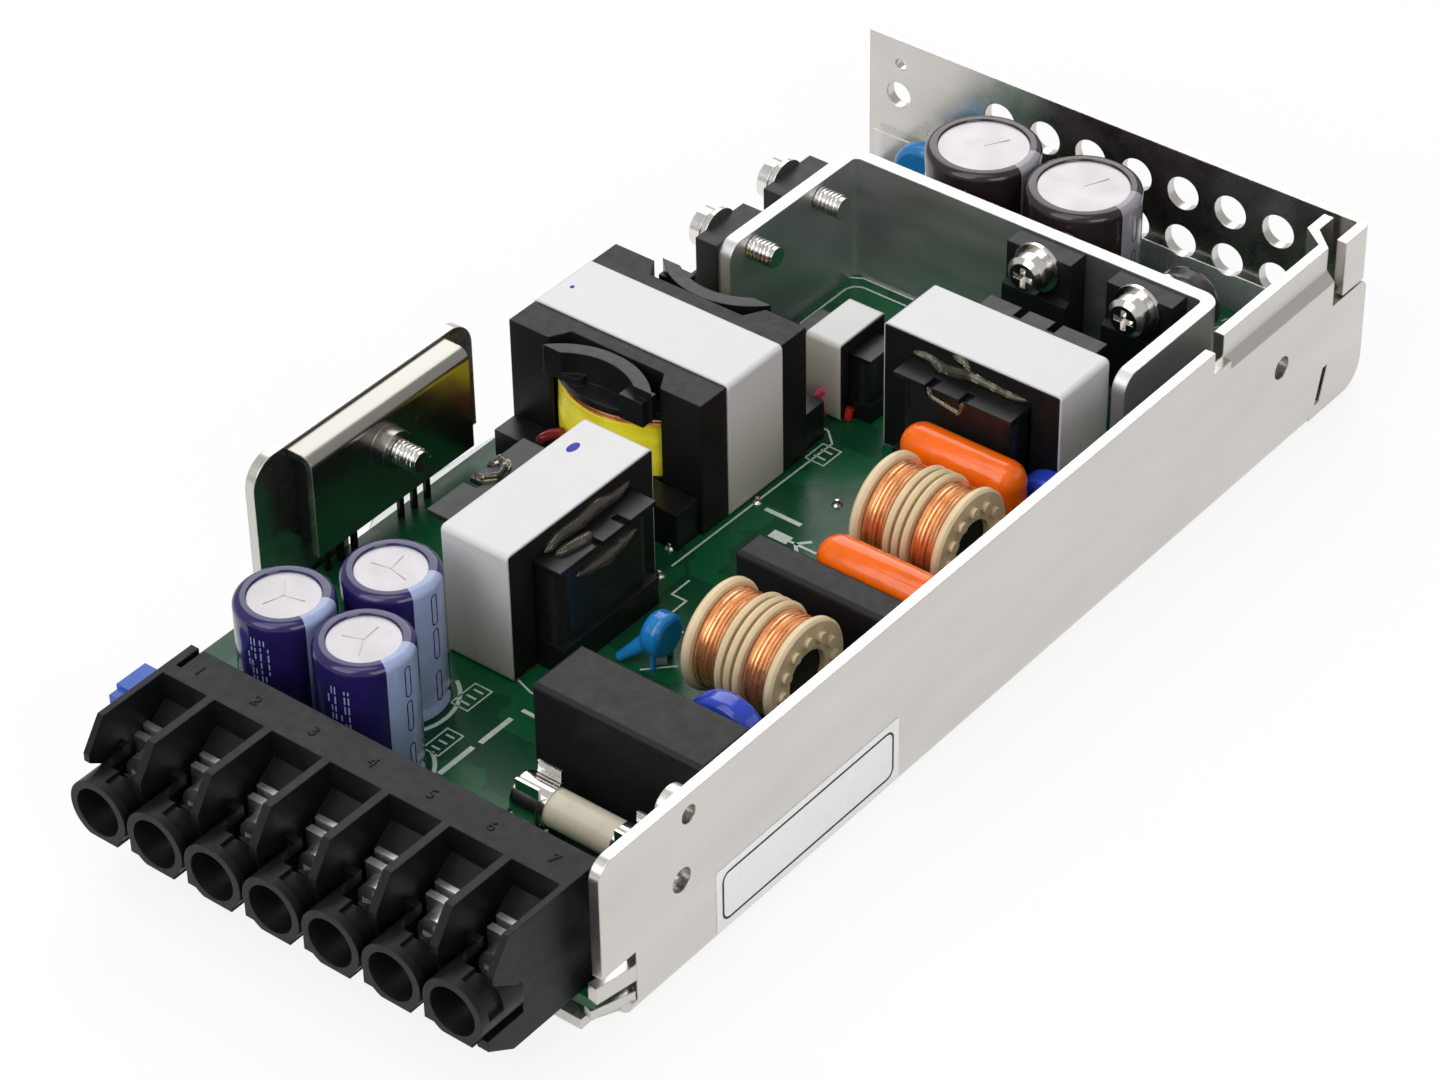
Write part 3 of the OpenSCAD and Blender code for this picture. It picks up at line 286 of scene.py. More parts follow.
MAT = {
    "sheet": metal("plated_sheet", (0.615, 0.585, 0.555), 0.28, 0.0003, 0.25, (1, 4, 1)),
    "bright": metal("bright_plating", (0.80, 0.78, 0.75), 0.16, 0.003, 0.12),
    "clip": metal("rolled_strip", (0.34, 0.326, 0.30), 0.24, 0.003, 0.25, (1, 6, 1)),
    "terminal": metal("terminal_plating", (0.98, 0.96, 0.92), 0.33, 0.003, 0.12),
    "aluminium": metal("rolled_aluminium", (0.60, 0.60, 0.605), 0.43, 0.0015, 0.25, (4, 4, 1)),
    "can_top": metal("can_top", (0.47, 0.455, 0.47), 0.50, 0.004, 0.1),
    "block": plastic("block_plastic", (0.0065, 0.0068, 0.0082), 0.42, 0.19),
    "package": plastic("package_resin", (0.008, 0.008, 0.009), 0.40, 0.25),
    "box": plastic("box_plastic", (0.011, 0.011, 0.012), 0.45, 0.22),
    "bobbin": plastic("bobbin_plastic", (0.007, 0.007, 0.008), 0.34, 0.32),
    "ferrite": plastic("ferrite", (0.007, 0.007, 0.0075), 0.45, 0.24, 0.015, 0.12, 0.25),
    "cream": plastic("spool_plastic", (0.78, 0.63, 0.40), 0.42, 0.35, 0.008, 0.3, 0.25, 0.06),
    "trimmer": plastic("trimmer_plastic", (0.03, 0.10, 0.46), 0.40, 0.4),
    "rotor": plastic("rotor_plastic", (0.16, 0.15, 0.50), 0.38, 0.4),
    "fuse": plastic("fuse_ceramic", (0.72, 0.66, 0.52), 0.30, 0.45, 0.004, 0.4, 0.2, 0.05),
    "orange": resin("orange_resin", (0.90, 0.140, 0.003)),
    "royal": resin("royal_blue_resin", (0.020, 0.055, 0.50)),
    "sky": resin("light_blue_resin", (0.012, 0.20, 0.52)),
    "grey_resin": resin("grey_resin", (0.045, 0.045, 0.045)),
    "violet": resin("violet_sleeve", (0.016, 0.011, 0.085), 0.15),
    "violet_stripe": resin("violet_sleeve_stripe", (0.30, 0.36, 0.56), 0.06),
    "brown": resin("brown_sleeve", (0.020, 0.012, 0.012), 0.15),
    "brown_stripe": resin("brown_sleeve_stripe", (0.28, 0.27, 0.30), 0.06),
    "violet_ink": print_ink("violet_ink", (0.03, 0.03, 0.30)),
    "white_ink": print_ink("white_ink", (0.55, 0.62, 0.55)),
    "black_ink": print_ink("black_ink", (0.02, 0.02, 0.022)),
    "label": print_ink("label_paper", (0.86, 0.86, 0.86), 0.02),
    "red_sleeve": resin("red_sleeve", (0.20, 0.018, 0.010)),
    "pink_wire": resin("pink_wire", (0.62, 0.06, 0.16)),
    "red_wire": resin("red_wire", (0.55, 0.03, 0.02)),
    "black_tape": plastic("black_tape", (0.010, 0.010, 0.011), 0.30, 0.45, 0.02, 1.5),
    "solder": metal("solder", (0.72, 0.72, 0.73), 0.20, 0.01),
    "tape": tape_material(),
    "board": board_material(),
    "film": film_material(),
    "wire": wire_material(),
    "yellow": yellow_tape_material(),
    "glue": glue_material(),
}

# Finish of each CAD node, by the start of its name; the first that fits is taken
FINISH = [
    ("chassis", "sheet"), ("insulation_film", "film"), ("circuit_board", "board"),
    ("board_screws", "bright"), ("terminal_block", "block"), ("terminal_", "terminal"),
    ("trimmer_body", "trimmer"), ("trimmer_rotor", "rotor"), ("output_capacitor", "violet"),
    ("bulk_capacitor", "brown"), ("main_transformer_winding", "yellow"),
    ("line_filter_spool", "cream"), ("line_filter_winding", "wire"),
    ("heatsink_", "bright"), ("heatsink", "aluminium"), ("switch_", "package"),
    ("power_diode", "package"), ("output_rectifiers", "package"), ("film_capacitor", "orange"),
    ("box_capacitor", "box"), ("fuse_tube", "fuse"), ("fuse_", "bright"), ("varistor", "royal"),
    ("disc_", "sky"), ("thermistor", "grey_resin"), ("clamp_plate", "clip"),
    ("clamp_screw", "bright"),
]
# Finish of the other nodes, by a word in their names
FINISH_BY_WORD = {"core": "ferrite", "bobbin": "bobbin", "tape": "tape", "winding": "black_tape"}

# Metal CAD nodes whose sharp edges are rounded, with the width of the round
SOFT_EDGE = {
    "terminal_plates": 0.36, "terminal_clamps": 0.42, "terminal_screws": 0.2, "clamp_plate": 0.2,
}
SOFT_ANGLE = 50


def finish_of(name):
    """Material of one CAD node."""
    for start, key in FINISH:
        if name.startswith(start):
            return MAT[key]
    words = name.split("_")
    return MAT[next(key for word, key in FINISH_BY_WORD.items() if word in words)]


def soften(node, width):
    """Rounds the sharp edges of a CAD node with a modifier."""
    bevel = node.modifiers.new("soft_edges", "BEVEL")
    bevel.width = width * MM
    bevel.segments = 3
    bevel.limit_method = "ANGLE"
    bevel.angle_limit = math.radians(SOFT_ANGLE)


for name, node in nodes.items():
    node.data.materials.clear()
    node.data.materials.append(finish_of(name))
    if name in SOFT_EDGE:
        soften(node, SOFT_EDGE[name])


# Meshes

SMOOTH_BELOW = 40


def place(name, mesh, slot, replaced=()):
    """Puts a mesh into the scene as a piece of the fixed body."""
    piece = bpy.data.objects.new(name, mesh)
    bpy.context.scene.collection.objects.link(piece)
    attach(piece, "root")
    if replaced:
        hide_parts(*replaced)


class Shape:
    """Faces of one piece, gathered and then made into an object of the fixed body."""

    def __init__(self):
        self.points = []
        self.faces = []
        self.skins = []

    def add(self, points, faces, skin=0):
        """Adds points and the faces between them, all with one material."""
        first = len(self.points)
        self.points.extend(Vector(p) for p in points)
        self.faces.extend([first + i for i in face] for face in faces)
        self.skins.extend([skin] * len(faces))

    def loft(self, rings, skin=0, loop=False):
        """Skins a row of rings of as many points; it is capped, or a loop joins its ends."""
        rows, count = len(rings), len(rings[0])
        faces = []
        for r in range(rows if loop else rows - 1):
            this, other = r * count, (r + 1) % rows * count
            for i in range(count):
                j = (i + 1) % count
                faces.append((this + i, this + j, other + j, other + i))
        if not loop:
            last = (rows - 1) * count
            faces.append(tuple(reversed(range(count))))
            faces.append(tuple(last + i for i in range(count)))
        self.add([p for ring in rings for p in ring], faces, skin)

    def tube(self, path, radius, sides=8, skin=0):
        """Round bar along a path; radius is one number or one for each point."""
        path = [Vector(p) for p in path]
        radii = radius if isinstance(radius, (list, tuple)) else [radius] * len(path)
        turns = [2 * math.pi * k / sides for k in range(sides)]
        rings = []
        side = None
        for i, point in enumerate(path):
            along = (path[min(i + 1, len(path) - 1)] - path[max(i - 1, 0)]).normalized()
            if side is None:
                side = along.orthogonal().normalized()
            side = (side - along * side.dot(along)).normalized()
            other = along.cross(side)
            spokes = [side * math.cos(t) + other * math.sin(t) for t in turns]
            rings.append([point + radii[i] * spoke for spoke in spokes])
        self.loft(rings, skin)

    def lathe(self, centre, profile, skin_of=None, steps=64, axis="Z"):
        """Turns pairs of radius and height about an upright axis, or one along X."""
        tilt = math.pi / 2 if axis == "X" else 0
        matrix = Euler((0, tilt, 0)).to_matrix()
        centre = Vector(centre)
        angles = [2 * math.pi * k / steps for k in range(steps)]
        rings = [
            [centre + matrix @ Vector((r * math.cos(a), r * math.sin(a), h)) for a in angles]
            for r, h in profile
        ]
        first = len(self.faces)
        self.loft(rings)
        if skin_of:
            for row in range(len(profile) - 1):
                for k in range(steps):
                    self.skins[first + row * steps + k] = skin_of(row, angles[k] + math.pi / steps)
            self.skins[-2] = skin_of(-1, 0)
            self.skins[-1] = skin_of(len(profile) - 1, 0)

    def stroke(self, points, width, low, high, skin=0):
        """Flat line of one width on a level face, as a thin raised strip."""
        points = [Vector((p[0], p[1], 0)) for p in points]
        floor, roof = Vector((0, 0, low)), Vector((0, 0, high))
        rings = []
        for i, point in enumerate(points):
            before = (point - points[i - 1]).normalized() if i else None
            after = (points[i + 1] - point).normalized() if i + 1 < len(points) else None
            along = ((before or after) + (after or before)).normalized()
            aside = Vector((-along.y, along.x, 0))
            reach = width / 2 / max(0.4, along.dot(before or after))
            left, right = point + aside * reach, point - aside * reach
            rings.append([left + floor, right + floor, right + roof, left + roof])
        self.loft(rings, skin)

    def make(self, name, skins, slot, replaced=()):
        """Makes the object in the frame's metres, with its materials; the slot is not used."""
        mesh = bpy.data.meshes.new(name)
        mesh.from_pydata([(p + FRONT) * MM for p in self.points], [], self.faces)
        work = bmesh.new()
        work.from_mesh(mesh)
        bmesh.ops.recalc_face_normals(work, faces=work.faces)
        work.to_mesh(mesh)
        work.free()
        for skin in skins:
            mesh.materials.append(MAT[skin])
        mesh.polygons.foreach_set("material_index", self.skins)
        mesh.polygons.foreach_set("use_smooth", [True] * len(mesh.polygons))
        mesh.set_sharp_from_angle(angle=math.radians(SMOOTH_BELOW))
        place(name, mesh, slot, replaced)


def arc(centre, radius, start, end, steps):
    """Points on an arc in the XY plane, angles in degrees."""
    angles = [math.radians(start + (end - start) * k / steps) for k in range(steps + 1)]
    return [(centre[0] + radius * math.cos(a), centre[1] + radius * math.sin(a)) for a in angles]


def round_box_outline(width, height, radius, steps=6):
    """Points round a rectangle with round corners, centred on zero."""
    outline = []
    for sx, sy, start in ((1, 1, 0), (-1, 1, 90), (-1, -1, 180), (1, -1, 270)):
        middle = (sx * (width / 2 - radius), sy * (height / 2 - radius))
        outline += arc(middle, radius, start, start + 90, steps)
    return outline


# Electrolytic capacitors

# Materials of a capacitor, by their places in a style's list of skins
SLEEVE, STRIPE, CAN_TOP, MINUS, SCORE, STROKES = range(6)
VIOLET = {
    "skins": ["violet", "violet_stripe", "can_top", "violet", "clip", "violet_stripe"],
    "slot": "sleeve_violet", "stripe_half": 27, "minus_l": 4.6, "minus_z": (4.5, 11, 16.2),
}
BROWN = {
    "skins": ["brown", "brown_stripe", "can_top", "brown", "clip", "brown_stripe"],
    "slot": "sleeve_brown", "stripe_half": 20, "minus_l": 3.6, "minus_z": (5, 11, 16),
}
# Style of each capacitor, and the directions of the scores in its top, in degrees
CAPACITORS = {
    "output_capacitor_1": (VIOLET, (15, 130, 250)),
    "output_capacitor_2": (VIOLET, (-10, 100, 190)),
    "output_capacitor_3": (VIOLET, (95, 200, -60)),
    "bulk_capacitor_1": (BROWN, (60,)),
    "bulk_capacitor_2": (BROWN, (65,)),
}
STRIPE_AT = 4
SHOULDER_R = 1.1
RIM_W = 1.75
INK = 0.02
MINUS_W = 1.1
MINUS_LINE = 0.17
MINUS_FLAT = 0.01
STROKE_AT = (-72, -88)
STROKE_HALF = 0.09
STROKE_TALL = (0.5, 0.8, 0.8, 1.1)
STROKE_ACROSS = (-0.5, 0.0, 0.5)
STROKE_GAP = 0.35
STROKE_LOW = 5.5
STROKE_SPARE = 8.5
COLUMN_STEP = 1.2
SCORE_REACH = 0.62
SCORE_W = 0.1
SCORE_Z = (0.26, 0.21)


def can_profile(r, top):
    """Radius and height of a sleeved can, from its base over the shoulder to the bare top."""
    base = [(r - 0.3, 0), (r, 0.3), (r, 1.3), (r - 0.35, 1.8), (r, 2.4)]
    turns = [math.radians(90 - 15 * k) for k in range(7)]
    shoulder = [
        (r - SHOULDER_R + SHOULDER_R * math.sin(a), top - SHOULDER_R + SHOULDER_R * math.cos(a))
        for a in turns
    ]
    open_r = r - RIM_W
    rim = [(open_r + 0.1, top), (open_r, top - 0.12), (open_r - 0.05, top - 0.3)]
    return base + shoulder + rim + [(0.05, top - 0.24)]


def round_point(centre, radius, angle):
    """X and Y of a point at an angle round a centre."""
    return centre[0] + radius * math.cos(angle), centre[1] + radius * math.sin(angle)


def sleeve_strokes(shape, base, r, low, height):
    """Two columns of small plain strokes round the front of a sleeve, in the stripe's colour."""
    turn = STROKE_HALF / r
    corners = [(r - INK, -turn), (r + INK, -turn), (r + INK, turn), (r - INK, turn)]
    for column, angle in enumerate(STROKE_AT):
        z = low + COLUMN_STEP * column
        while z < low + height:
            tall = random.choice(STROKE_TALL)
            for across in random.sample(STROKE_ACROSS, 2):
                a = math.radians(angle) + across / r
                ring = [round_point(base, out, a + da) for out, da in corners]
                shape.loft([[(x, y, h) for x, y in ring] for h in (z, z + tall)], STROKES)
            z += tall + STROKE_GAP


def minus_signs(shape, base, r, length, levels):
    """Long rounded outlines, one above the other on the stripe."""
    end_r = MINUS_W / 2 - MINUS_FLAT
    outer = round_box_outline(MINUS_W, length, end_r)
    inner = round_box_outline(MINUS_W - 2 * MINUS_LINE, length - 2 * MINUS_LINE, end_r - MINUS_LINE)
    middle = math.radians(STRIPE_AT)
    for z in levels:
        rings = []
        for loop, out in ((inner, -INK), (inner, INK), (outer, INK), (outer, -INK)):
            ring = [(round_point(base, r + out, middle + s / r), h) for s, h in loop]
            rings.append([(x, y, base[2] + z + h) for (x, y), h in ring])
        shape.loft(rings, MINUS, loop=True)


def capacitor(node, style, scores):
    """Aluminium can in a shrink sleeve, with its stripe, minus signs and scored top."""
    low, high = node_box(node)
    middle = (low + high) / 2
    base = (middle.x, middle.y, low.z)
    r = (high.x - low.x) / 2
    top = high.z - low.z
    profile = can_profile(r, top)
    metal_row = len(profile) - 2

    def skin_of(row, angle):
        if row >= metal_row:
            return CAN_TOP
        aside = (math.degrees(angle) - STRIPE_AT + 180) % 360 - 180
        return STRIPE if row >= 0 and abs(aside) < style["stripe_half"] else SLEEVE

    shape = Shape()
    shape.lathe(base, profile, skin_of, steps=120)
    minus_signs(shape, base, r, style["minus_l"], style["minus_z"])
    sleeve_strokes(shape, base, r, low.z + STROKE_LOW, top - STROKE_SPARE)
    for angle in scores:
        end = round_point(base, SCORE_REACH * (r - RIM_W), math.radians(angle))
        shape.stroke([base, end], SCORE_W, high.z - SCORE_Z[0], high.z - SCORE_Z[1], SCORE)
    shape.make(node + "_can", style["skins"], style["slot"], [node])


for name, (style, scores) in CAPACITORS.items():
    capacitor(name, style, scores)


# Line filters

FILTER_SECTION = 3.85
WIRE_R = 0.27
WIRE_PITCH = 0.53
TOP_LAYER = 0.4
INNER_IN = 0.05
TURN_STEPS = 40


def coil(shape, centre, radius, x0, x1):
    """Turns of wire side by side about an axis along X, a little uneven."""
    first, last = x0 + WIRE_R, x1 - WIRE_R
    turns = int((x1 - x0 - 2 * WIRE_R) / WIRE_PITCH)
    path = []
    for k in range(turns * TURN_STEPS + 1):
        turn = k / TURN_STEPS
        a = 2 * math.pi * turn
        sway = 0.07 * math.sin(1.7 * turn + 3 * math.sin(a)) + 0.04 * math.sin(5.1 * turn)
        r = radius - WIRE_R + 0.06 * math.sin(2.3 * turn + 1.0)
        x = first + (x1 - x0 - 2 * WIRE_R) * turn / turns + sway
        x = min(max(x, first), last)
        path.append((x, centre.y + r * math.cos(a), centre.z + r * math.sin(a)))
    shape.tube(path, WIRE_R)


def filter_winding(number):
    """Two sections of copper turns over an inner layer."""
    node = f"line_filter_winding_{number}"
    low, high = node_box(node)
    centre = (low + high) / 2
    radius = (high.z - low.z) / 2 + TOP_LAYER
    core = radius - 2 * WIRE_R
    shape = Shape()
    for x0, x1 in ((low.x, low.x + FILTER_SECTION), (high.x - FILTER_SECTION, high.x)):
        inner = [(core, INNER_IN), (core, x1 - x0 - INNER_IN)]
        shape.lathe((x0, centre.y, centre.z), inner, steps=48, axis="X")
        coil(shape, centre, radius, x0, x1)
    shape.make(node + "_turns", ["wire"], "copper", [node])


for number in (1, 2):
    filter_winding(number)


# Main transformer winding

BARE_H = 1.5
BARE_TURNS = 3
BARE_R = 0.22
BARE_PITCH = 0.45
LAP_AT = (0.45, 0.47)
LAP_T = 0.12


def main_winding():
    """Yellow tape over the winding, with a lap in it and bare turns above its upper edge."""
    node = "main_transformer_winding"
    low, high = node_box(node)
    centre = (low + high) / 2
    radius = (high.x - low.x) / 2
    height = high.z - low.z
    tape_top = height - BARE_H
    upper_r = radius - LAP_T
    profile = [
        (radius - 2, 0), (radius, 0.1), (radius, LAP_AT[0] * height), (upper_r, LAP_AT[1] * height),
        (upper_r, tape_top), (radius - 0.5, tape_top + 0.15), (radius - 2, tape_top + 0.2),
    ]
    shape = Shape()
    shape.lathe((centre.x, centre.y, low.z), profile, steps=72)
    for k in range(BARE_TURNS):
        z = low.z + tape_top + 0.3 + BARE_PITCH * k
        circle = arc(centre, radius - 0.5 - 0.12 * k, 0, 360, 72)
        ring = [(x, y, z + 0.08 * math.sin(5 * i * 0.13)) for i, (x, y) in enumerate(circle)]
        shape.tube(ring, BARE_R, 6, 1)
    shape.make(node + "_taped", ["yellow", "wire"], "tape_yellow", [node])


main_winding()


# Tape bands

TAPE_T = 0.3
TAPE_R = 0.75
TAPE_EDGE = 0.1


def tape_band(node, lies_on_x):
    """Tape wound round a core, with the soft corners of a stretched band."""
    low, high = node_box(node)
    middle, size = (low + high) / 2, high - low
    length, half = (size.x, size.y / 2) if lies_on_x else (size.y, size.x / 2)

    def ring(inset, across):
        outline = round_box_outline(length - 2 * inset, size.z - 2 * inset, TAPE_R - inset, 10)
        if lies_on_x:
            return [middle + Vector((s, across, z)) for s, z in outline]
        return [middle + Vector((across, s, z)) for s, z in outline]

    edge = half - TAPE_EDGE
    rings = [ring(TAPE_T, half), ring(TAPE_T, -half), ring(TAPE_EDGE, -half)]
    rings += [ring(0, -edge), ring(0, edge), ring(TAPE_EDGE, half)]
    shape = Shape()
    shape.loft(rings, loop=True)
    shape.make(node + "_band", ["tape"], "tape_white", [node])


tape_band("main_transformer_tape", True)
tape_band("boost_choke_tape", True)
tape_band("output_choke_tape", False)
tape_band("drive_transformer_tape", False)


# Film capacitors

FILM_CAP_R = 2.9
FILM_CAP_LEAD = 0.8
FILM_CAP_STEPS = 24


def film_capacitor(number):
    """Dipped body: a box rounded all over, on two leads."""
    node = f"film_capacitor_{number}"
    low, high = node_box(node)
    size = high - low
    middle = (low + high) / 2
    body_h = size.z - FILM_CAP_LEAD
    z = low.z + FILM_CAP_LEAD + body_h / 2
    rings = []
    for k in range(FILM_CAP_STEPS + 1):
        a = math.pi * k / FILM_CAP_STEPS
        side = 1 if k > FILM_CAP_STEPS / 2 else -1
        reach = max(0.03, FILM_CAP_R * math.sin(a))
        x = middle.x + side * (size.x / 2 - FILM_CAP_R) - FILM_CAP_R * math.cos(a)
        inset = 2 * (FILM_CAP_R - reach)
        outline = round_box_outline(size.y - inset, body_h - inset, reach, 12)
        rings.append([(x, middle.y + across, z + up) for across, up in outline])
    shape = Shape()
    shape.loft(rings)
    for x in (low.x + size.x / 6, high.x - size.x / 6):
        lead = [(x, middle.y, low.z), (x, middle.y, low.z + 1.5)]
        shape.tube(lead, FILM_CAP_LEAD / 2, 12, 1)
    shape.make(node + "_dipped", ["orange", "solder"], "orange", [node])


for number in (1, 2):
    film_capacitor(number)


# Screw threads

CREST_AT = 1.5
CREST_R = 0.19
CREST_PITCH = 0.62
CREST_STEPS = 24
SINK_T = 2
DIODE_THREAD = 3.5
CLAMP_TIP = 0.35


def thread(name, start, length):
    """Helical crest round the bare end of a screw that points along X."""
    along = Vector((1, 0, 0))
    side = along.orthogonal().normalized()
    other = along.cross(side)
    count = int(length / CREST_PITCH * CREST_STEPS)
    path = []
    for k in range(count + 1):
        a = 2 * math.pi * k / CREST_STEPS
        spoke = side * math.cos(a) + other * math.sin(a)
        path.append(Vector(start) + along * (k * length / count) + CREST_AT * spoke)
    shape = Shape()
    shape.tube(path, CREST_R)
    shape.make(name, ["bright"], "steel")


def screw_threads():
    """Threads on the three screw ends that show."""
    sink_face = node_box("heatsink")[0].x + SINK_T
    screw_z = node_middle("heatsink_screws").z
    for number in (1, 2):
        start = (sink_face + 0.15, node_middle(f"power_diode_{number}").y, screw_z)
        thread(f"diode_screw_{number}_thread", start, DIODE_THREAD)
    middle = node_middle("clamp_screw")
    plate_face = node_box("clamp_plate")[1].x
    length = node_box("clamp_screw")[1].x - plate_face - CLAMP_TIP
    thread("clamp_screw_thread", (plate_face + 0.1, middle.y, middle.z), length)


screw_threads()


# Bare label

LABEL_Y = (20.5, 55.6)
LABEL_Z = (1.6, 11.0)
LABEL_T = 0.08
LABEL_R = 0.3
BORDER_IN = 1.0
BORDER_W = 0.32
BORDER_R = 1.4


def label():
    """White label with a rounded border line and no print."""
    width, height = LABEL_Y[1] - LABEL_Y[0], LABEL_Z[1] - LABEL_Z[0]
    middle = Vector((WALL_X, sum(LABEL_Y) / 2, sum(LABEL_Z) / 2))
    shape = Shape()

    def ring(outline, x):
        return [middle + Vector((x, y, z)) for y, z in outline]

    sheet = round_box_outline(width, height, LABEL_R)
    shape.loft([ring(sheet, 0), ring(sheet, LABEL_T)])
    outer = round_box_outline(width - 2 * BORDER_IN, height - 2 * BORDER_IN, BORDER_R)
    inset = 2 * (BORDER_IN + BORDER_W)
    inner = round_box_outline(width - inset, height - inset, BORDER_R - BORDER_W)
    under, over = LABEL_T - 0.01, LABEL_T + 0.02
    border = [(inner, under), (inner, over), (outer, over), (outer, under)]
    shape.loft([ring(loop, x) for loop, x in border], 1, loop=True)
    shape.make("bare_label", ["label", "black_ink"], "tape_white")


label()


# Board print

SILK_LOW = BOARD_TOP - 0.01
SILK_HIGH = BOARD_TOP + 0.03

# Width and points of each line
SILK_LINES = [
    (0.28, [(-25.1, 119.5), (-25.1, 130.6), (-24.3, 132.3), (-22.6, 133.3), (-14.0, 133.3)]),
    (0.28, [(-23.0, 119.5), (-23.0, 129.8), (-22.5, 130.9), (-21.4, 131.5), (-14.0, 131.5)]),
    (0.7, [(-1.4, 84.1), (4.4, 84.1)]),
    (1.6, [(2.3, 80.6), (5.2, 80.6)]),
    (0.4, [(5.2, 80.6), (9.5, 80.6)]),
    (0.5, [(7.6, 82.2), (6.2, 80.6), (7.6, 79.0)]),
    (0.28, [(-3.5, 67.5), (-3.0, 100.4), (-5.2, 102.4), (-9, 102.4)]),
    (0.28, [(0.1, 66.6), (0.1, 63.1), (2.4, 63.1), (2.4, 58), (6, 58)]),
    (0.25, [(6.3, 49.1), (9.6, 52.5)]),
    (0.28, [(-9.6, 40.2), (-1.6, 37.6), (1.4, 37.6)]),
    (0.75, [(-0.25, 26.6), (-0.25, 32.4)]),
    (0.75, [(-0.45, 19.3), (-0.45, 25.5)]),
    (0.6, [(-0.2, 34.4), (2.0, 34.4)]),
    (0.55, arc((-7.5, 15.5), 7.3, -60, 60, 16)),
    (0.55, arc((-13.9, 27.5), 7.3, -60, 60, 16)),
]
# Corner, width, height and number of strokes of each framed tag
SILK_TAGS = [
    (-8.1, 30.2, 2.7, 4.6, 3),
    (-5.2, 21.7, 2.5, 4.6, 3),
    (-4.0, 95.9, 3.0, 3.8, 2),
]
# Bent line near the rear wall
SILK_CORNER = (0.22, [(22.0, 151.7), (25.8, 151.9), (26.1, 147.5)])
# First place of each row of three short slanted strokes
SILK_ROWS = [(22.2, 152.8), (22.1, 154.9)]
ROW_STEP = 0.75


def tag_lines(x, y, width, height, marks):
    """Frame of a tag and the strokes that stand for its letters, as widths and points."""
    corners = [(x, y), (x + width, y), (x + width, y + height), (x, y + height), (x, y)]
    lines = [(0.2, corners)]
    for k in range(marks):
        level = y + height * (k + 0.75) / (marks + 0.5)
        lines.append((0.3, [(x + 0.6, level), (x + width - 0.6, level)]))
    return lines


def board_print():
    """White lines, generic boxes and outlines printed on the board."""
    lines = list(SILK_LINES)
    for tag in SILK_TAGS:
        lines += tag_lines(*tag)
    lines.append(SILK_CORNER)
    for x, y in SILK_ROWS:
        for k in range(3):
            at = x + ROW_STEP * k
            lines.append((0.2, [(at, y - 0.5), (at + 0.3, y + 0.5)]))
    shape = Shape()
    for width, points in lines:
        shape.stroke(points, width, SILK_LOW, SILK_HIGH)
    shape.make("board_print", ["white_ink"], "board")


board_print()


# Solder, leads and adhesive

SOLDER_AT = [
    (-6.0, 70.3), (-5.6, 100.1), (10.8, 19.7), (-3.1, 84.6),
    (-3.3, 62.2), (-3.5, 65.1), (5.4, 90.4), (7.4, 99.0),
]
SOLDER_PROFILE = [(0.75, 0), (0.55, 0.15), (0.32, 0.5), (0.28, 0.8), (0.05, 0.85)]

# Material, radius, sides and path of each wire end
WIRE_ENDS = [
    (0, 0.3, 10, [(-4.6, 47.9, 7.2), (-3.6, 48.1, 6.9), (-2.6, 48.3, 5.4)]),
    (0, 0.3, 10, [(-4.4, 46.0, 7.4), (-3.2, 46.3, 6.9), (-2.2, 46.5, 5.4)]),
    (1, 0.75, 12, [
        (-29.5, 72.4, 9.9), (-28.3, 72.1, 11.6), (-26.8, 72.0, 12.9), (-25.2, 72.4, 13.6)]),
    (2, 0.55, 12, [
        (-7.8, 104.4, 5.3), (-7.7, 103.6, 8.6), (-7.2, 102.9, 9.9), (-6.7, 103.4, 10.6)]),
    (3, 0.6, 12, [(-4.6, 106.0, 5.3), (-4.6, 106.2, 6.4), (-4.5, 106.4, 6.8)]),
]

# Points of each run of adhesive, as X, Y, Z and radius
ADHESIVE_RUNS = [
    [(-3.9, 44.0, 21.8, 0.5), (-4.0, 46.5, 22.6, 0.8), (-4.0, 50.5, 22.4, 0.9),
     (-4.0, 54.0, 22.9, 1.0), (-4.1, 57.5, 22.2, 0.7), (-4.1, 60.5, 22.6, 0.4)],
    [(-2.8, 44.6, 21.5, 0.5), (-2.4, 46.2, 21.7, 0.7), (-1.9, 49.2, 21.6, 0.8),
     (-2.1, 50.8, 21.7, 0.5)],
    [(-0.5, 45.8, 18.7, 0.3), (-0.5, 48.5, 18.4, 0.7), (-0.4, 51.0, 18.3, 1.0),
     (-0.5, 53.8, 18.6, 0.8), (-0.5, 57.4, 18.9, 0.3)],
    [(7.3, 103.9, 22.5, 0.3), (9.4, 104.0, 22.8, 0.4), (12.0, 103.9, 22.0, 0.7),
     (14.2, 103.9, 22.2, 0.8), (16.4, 103.9, 22.7, 0.6), (19.8, 104.0, 22.3, 0.45),
     (23.1, 104.0, 22.2, 0.4), (25.1, 104.1, 22.4, 0.25)],
    [(13.4, 104.1, 24.4, 0.3), (15.4, 104.1, 24.2, 0.4), (16.1, 104.0, 23.2, 0.35)],
    [(-21.2, 51.2, 21.5, 0.4), (-20.0, 50.9, 21.7, 0.5), (-18.6, 52.6, 21.7, 0.5),
     (-19.2, 54.9, 21.8, 0.6), (-20.8, 55.4, 21.7, 0.5), (-21.2, 53.4, 21.5, 0.3)],
    [(12.6, 99.9, 21.6, 0.3), (13.2, 99.8, 20.4, 0.25), (17.6, 99.8, 19.6, 0.25),
     (18.1, 99.9, 21.5, 0.35)],
]
RUN_STEPS = 8
# Share of the radius left at the first and last points of a run
RUN_TAPER = (0.15, 0.6, 0.85)


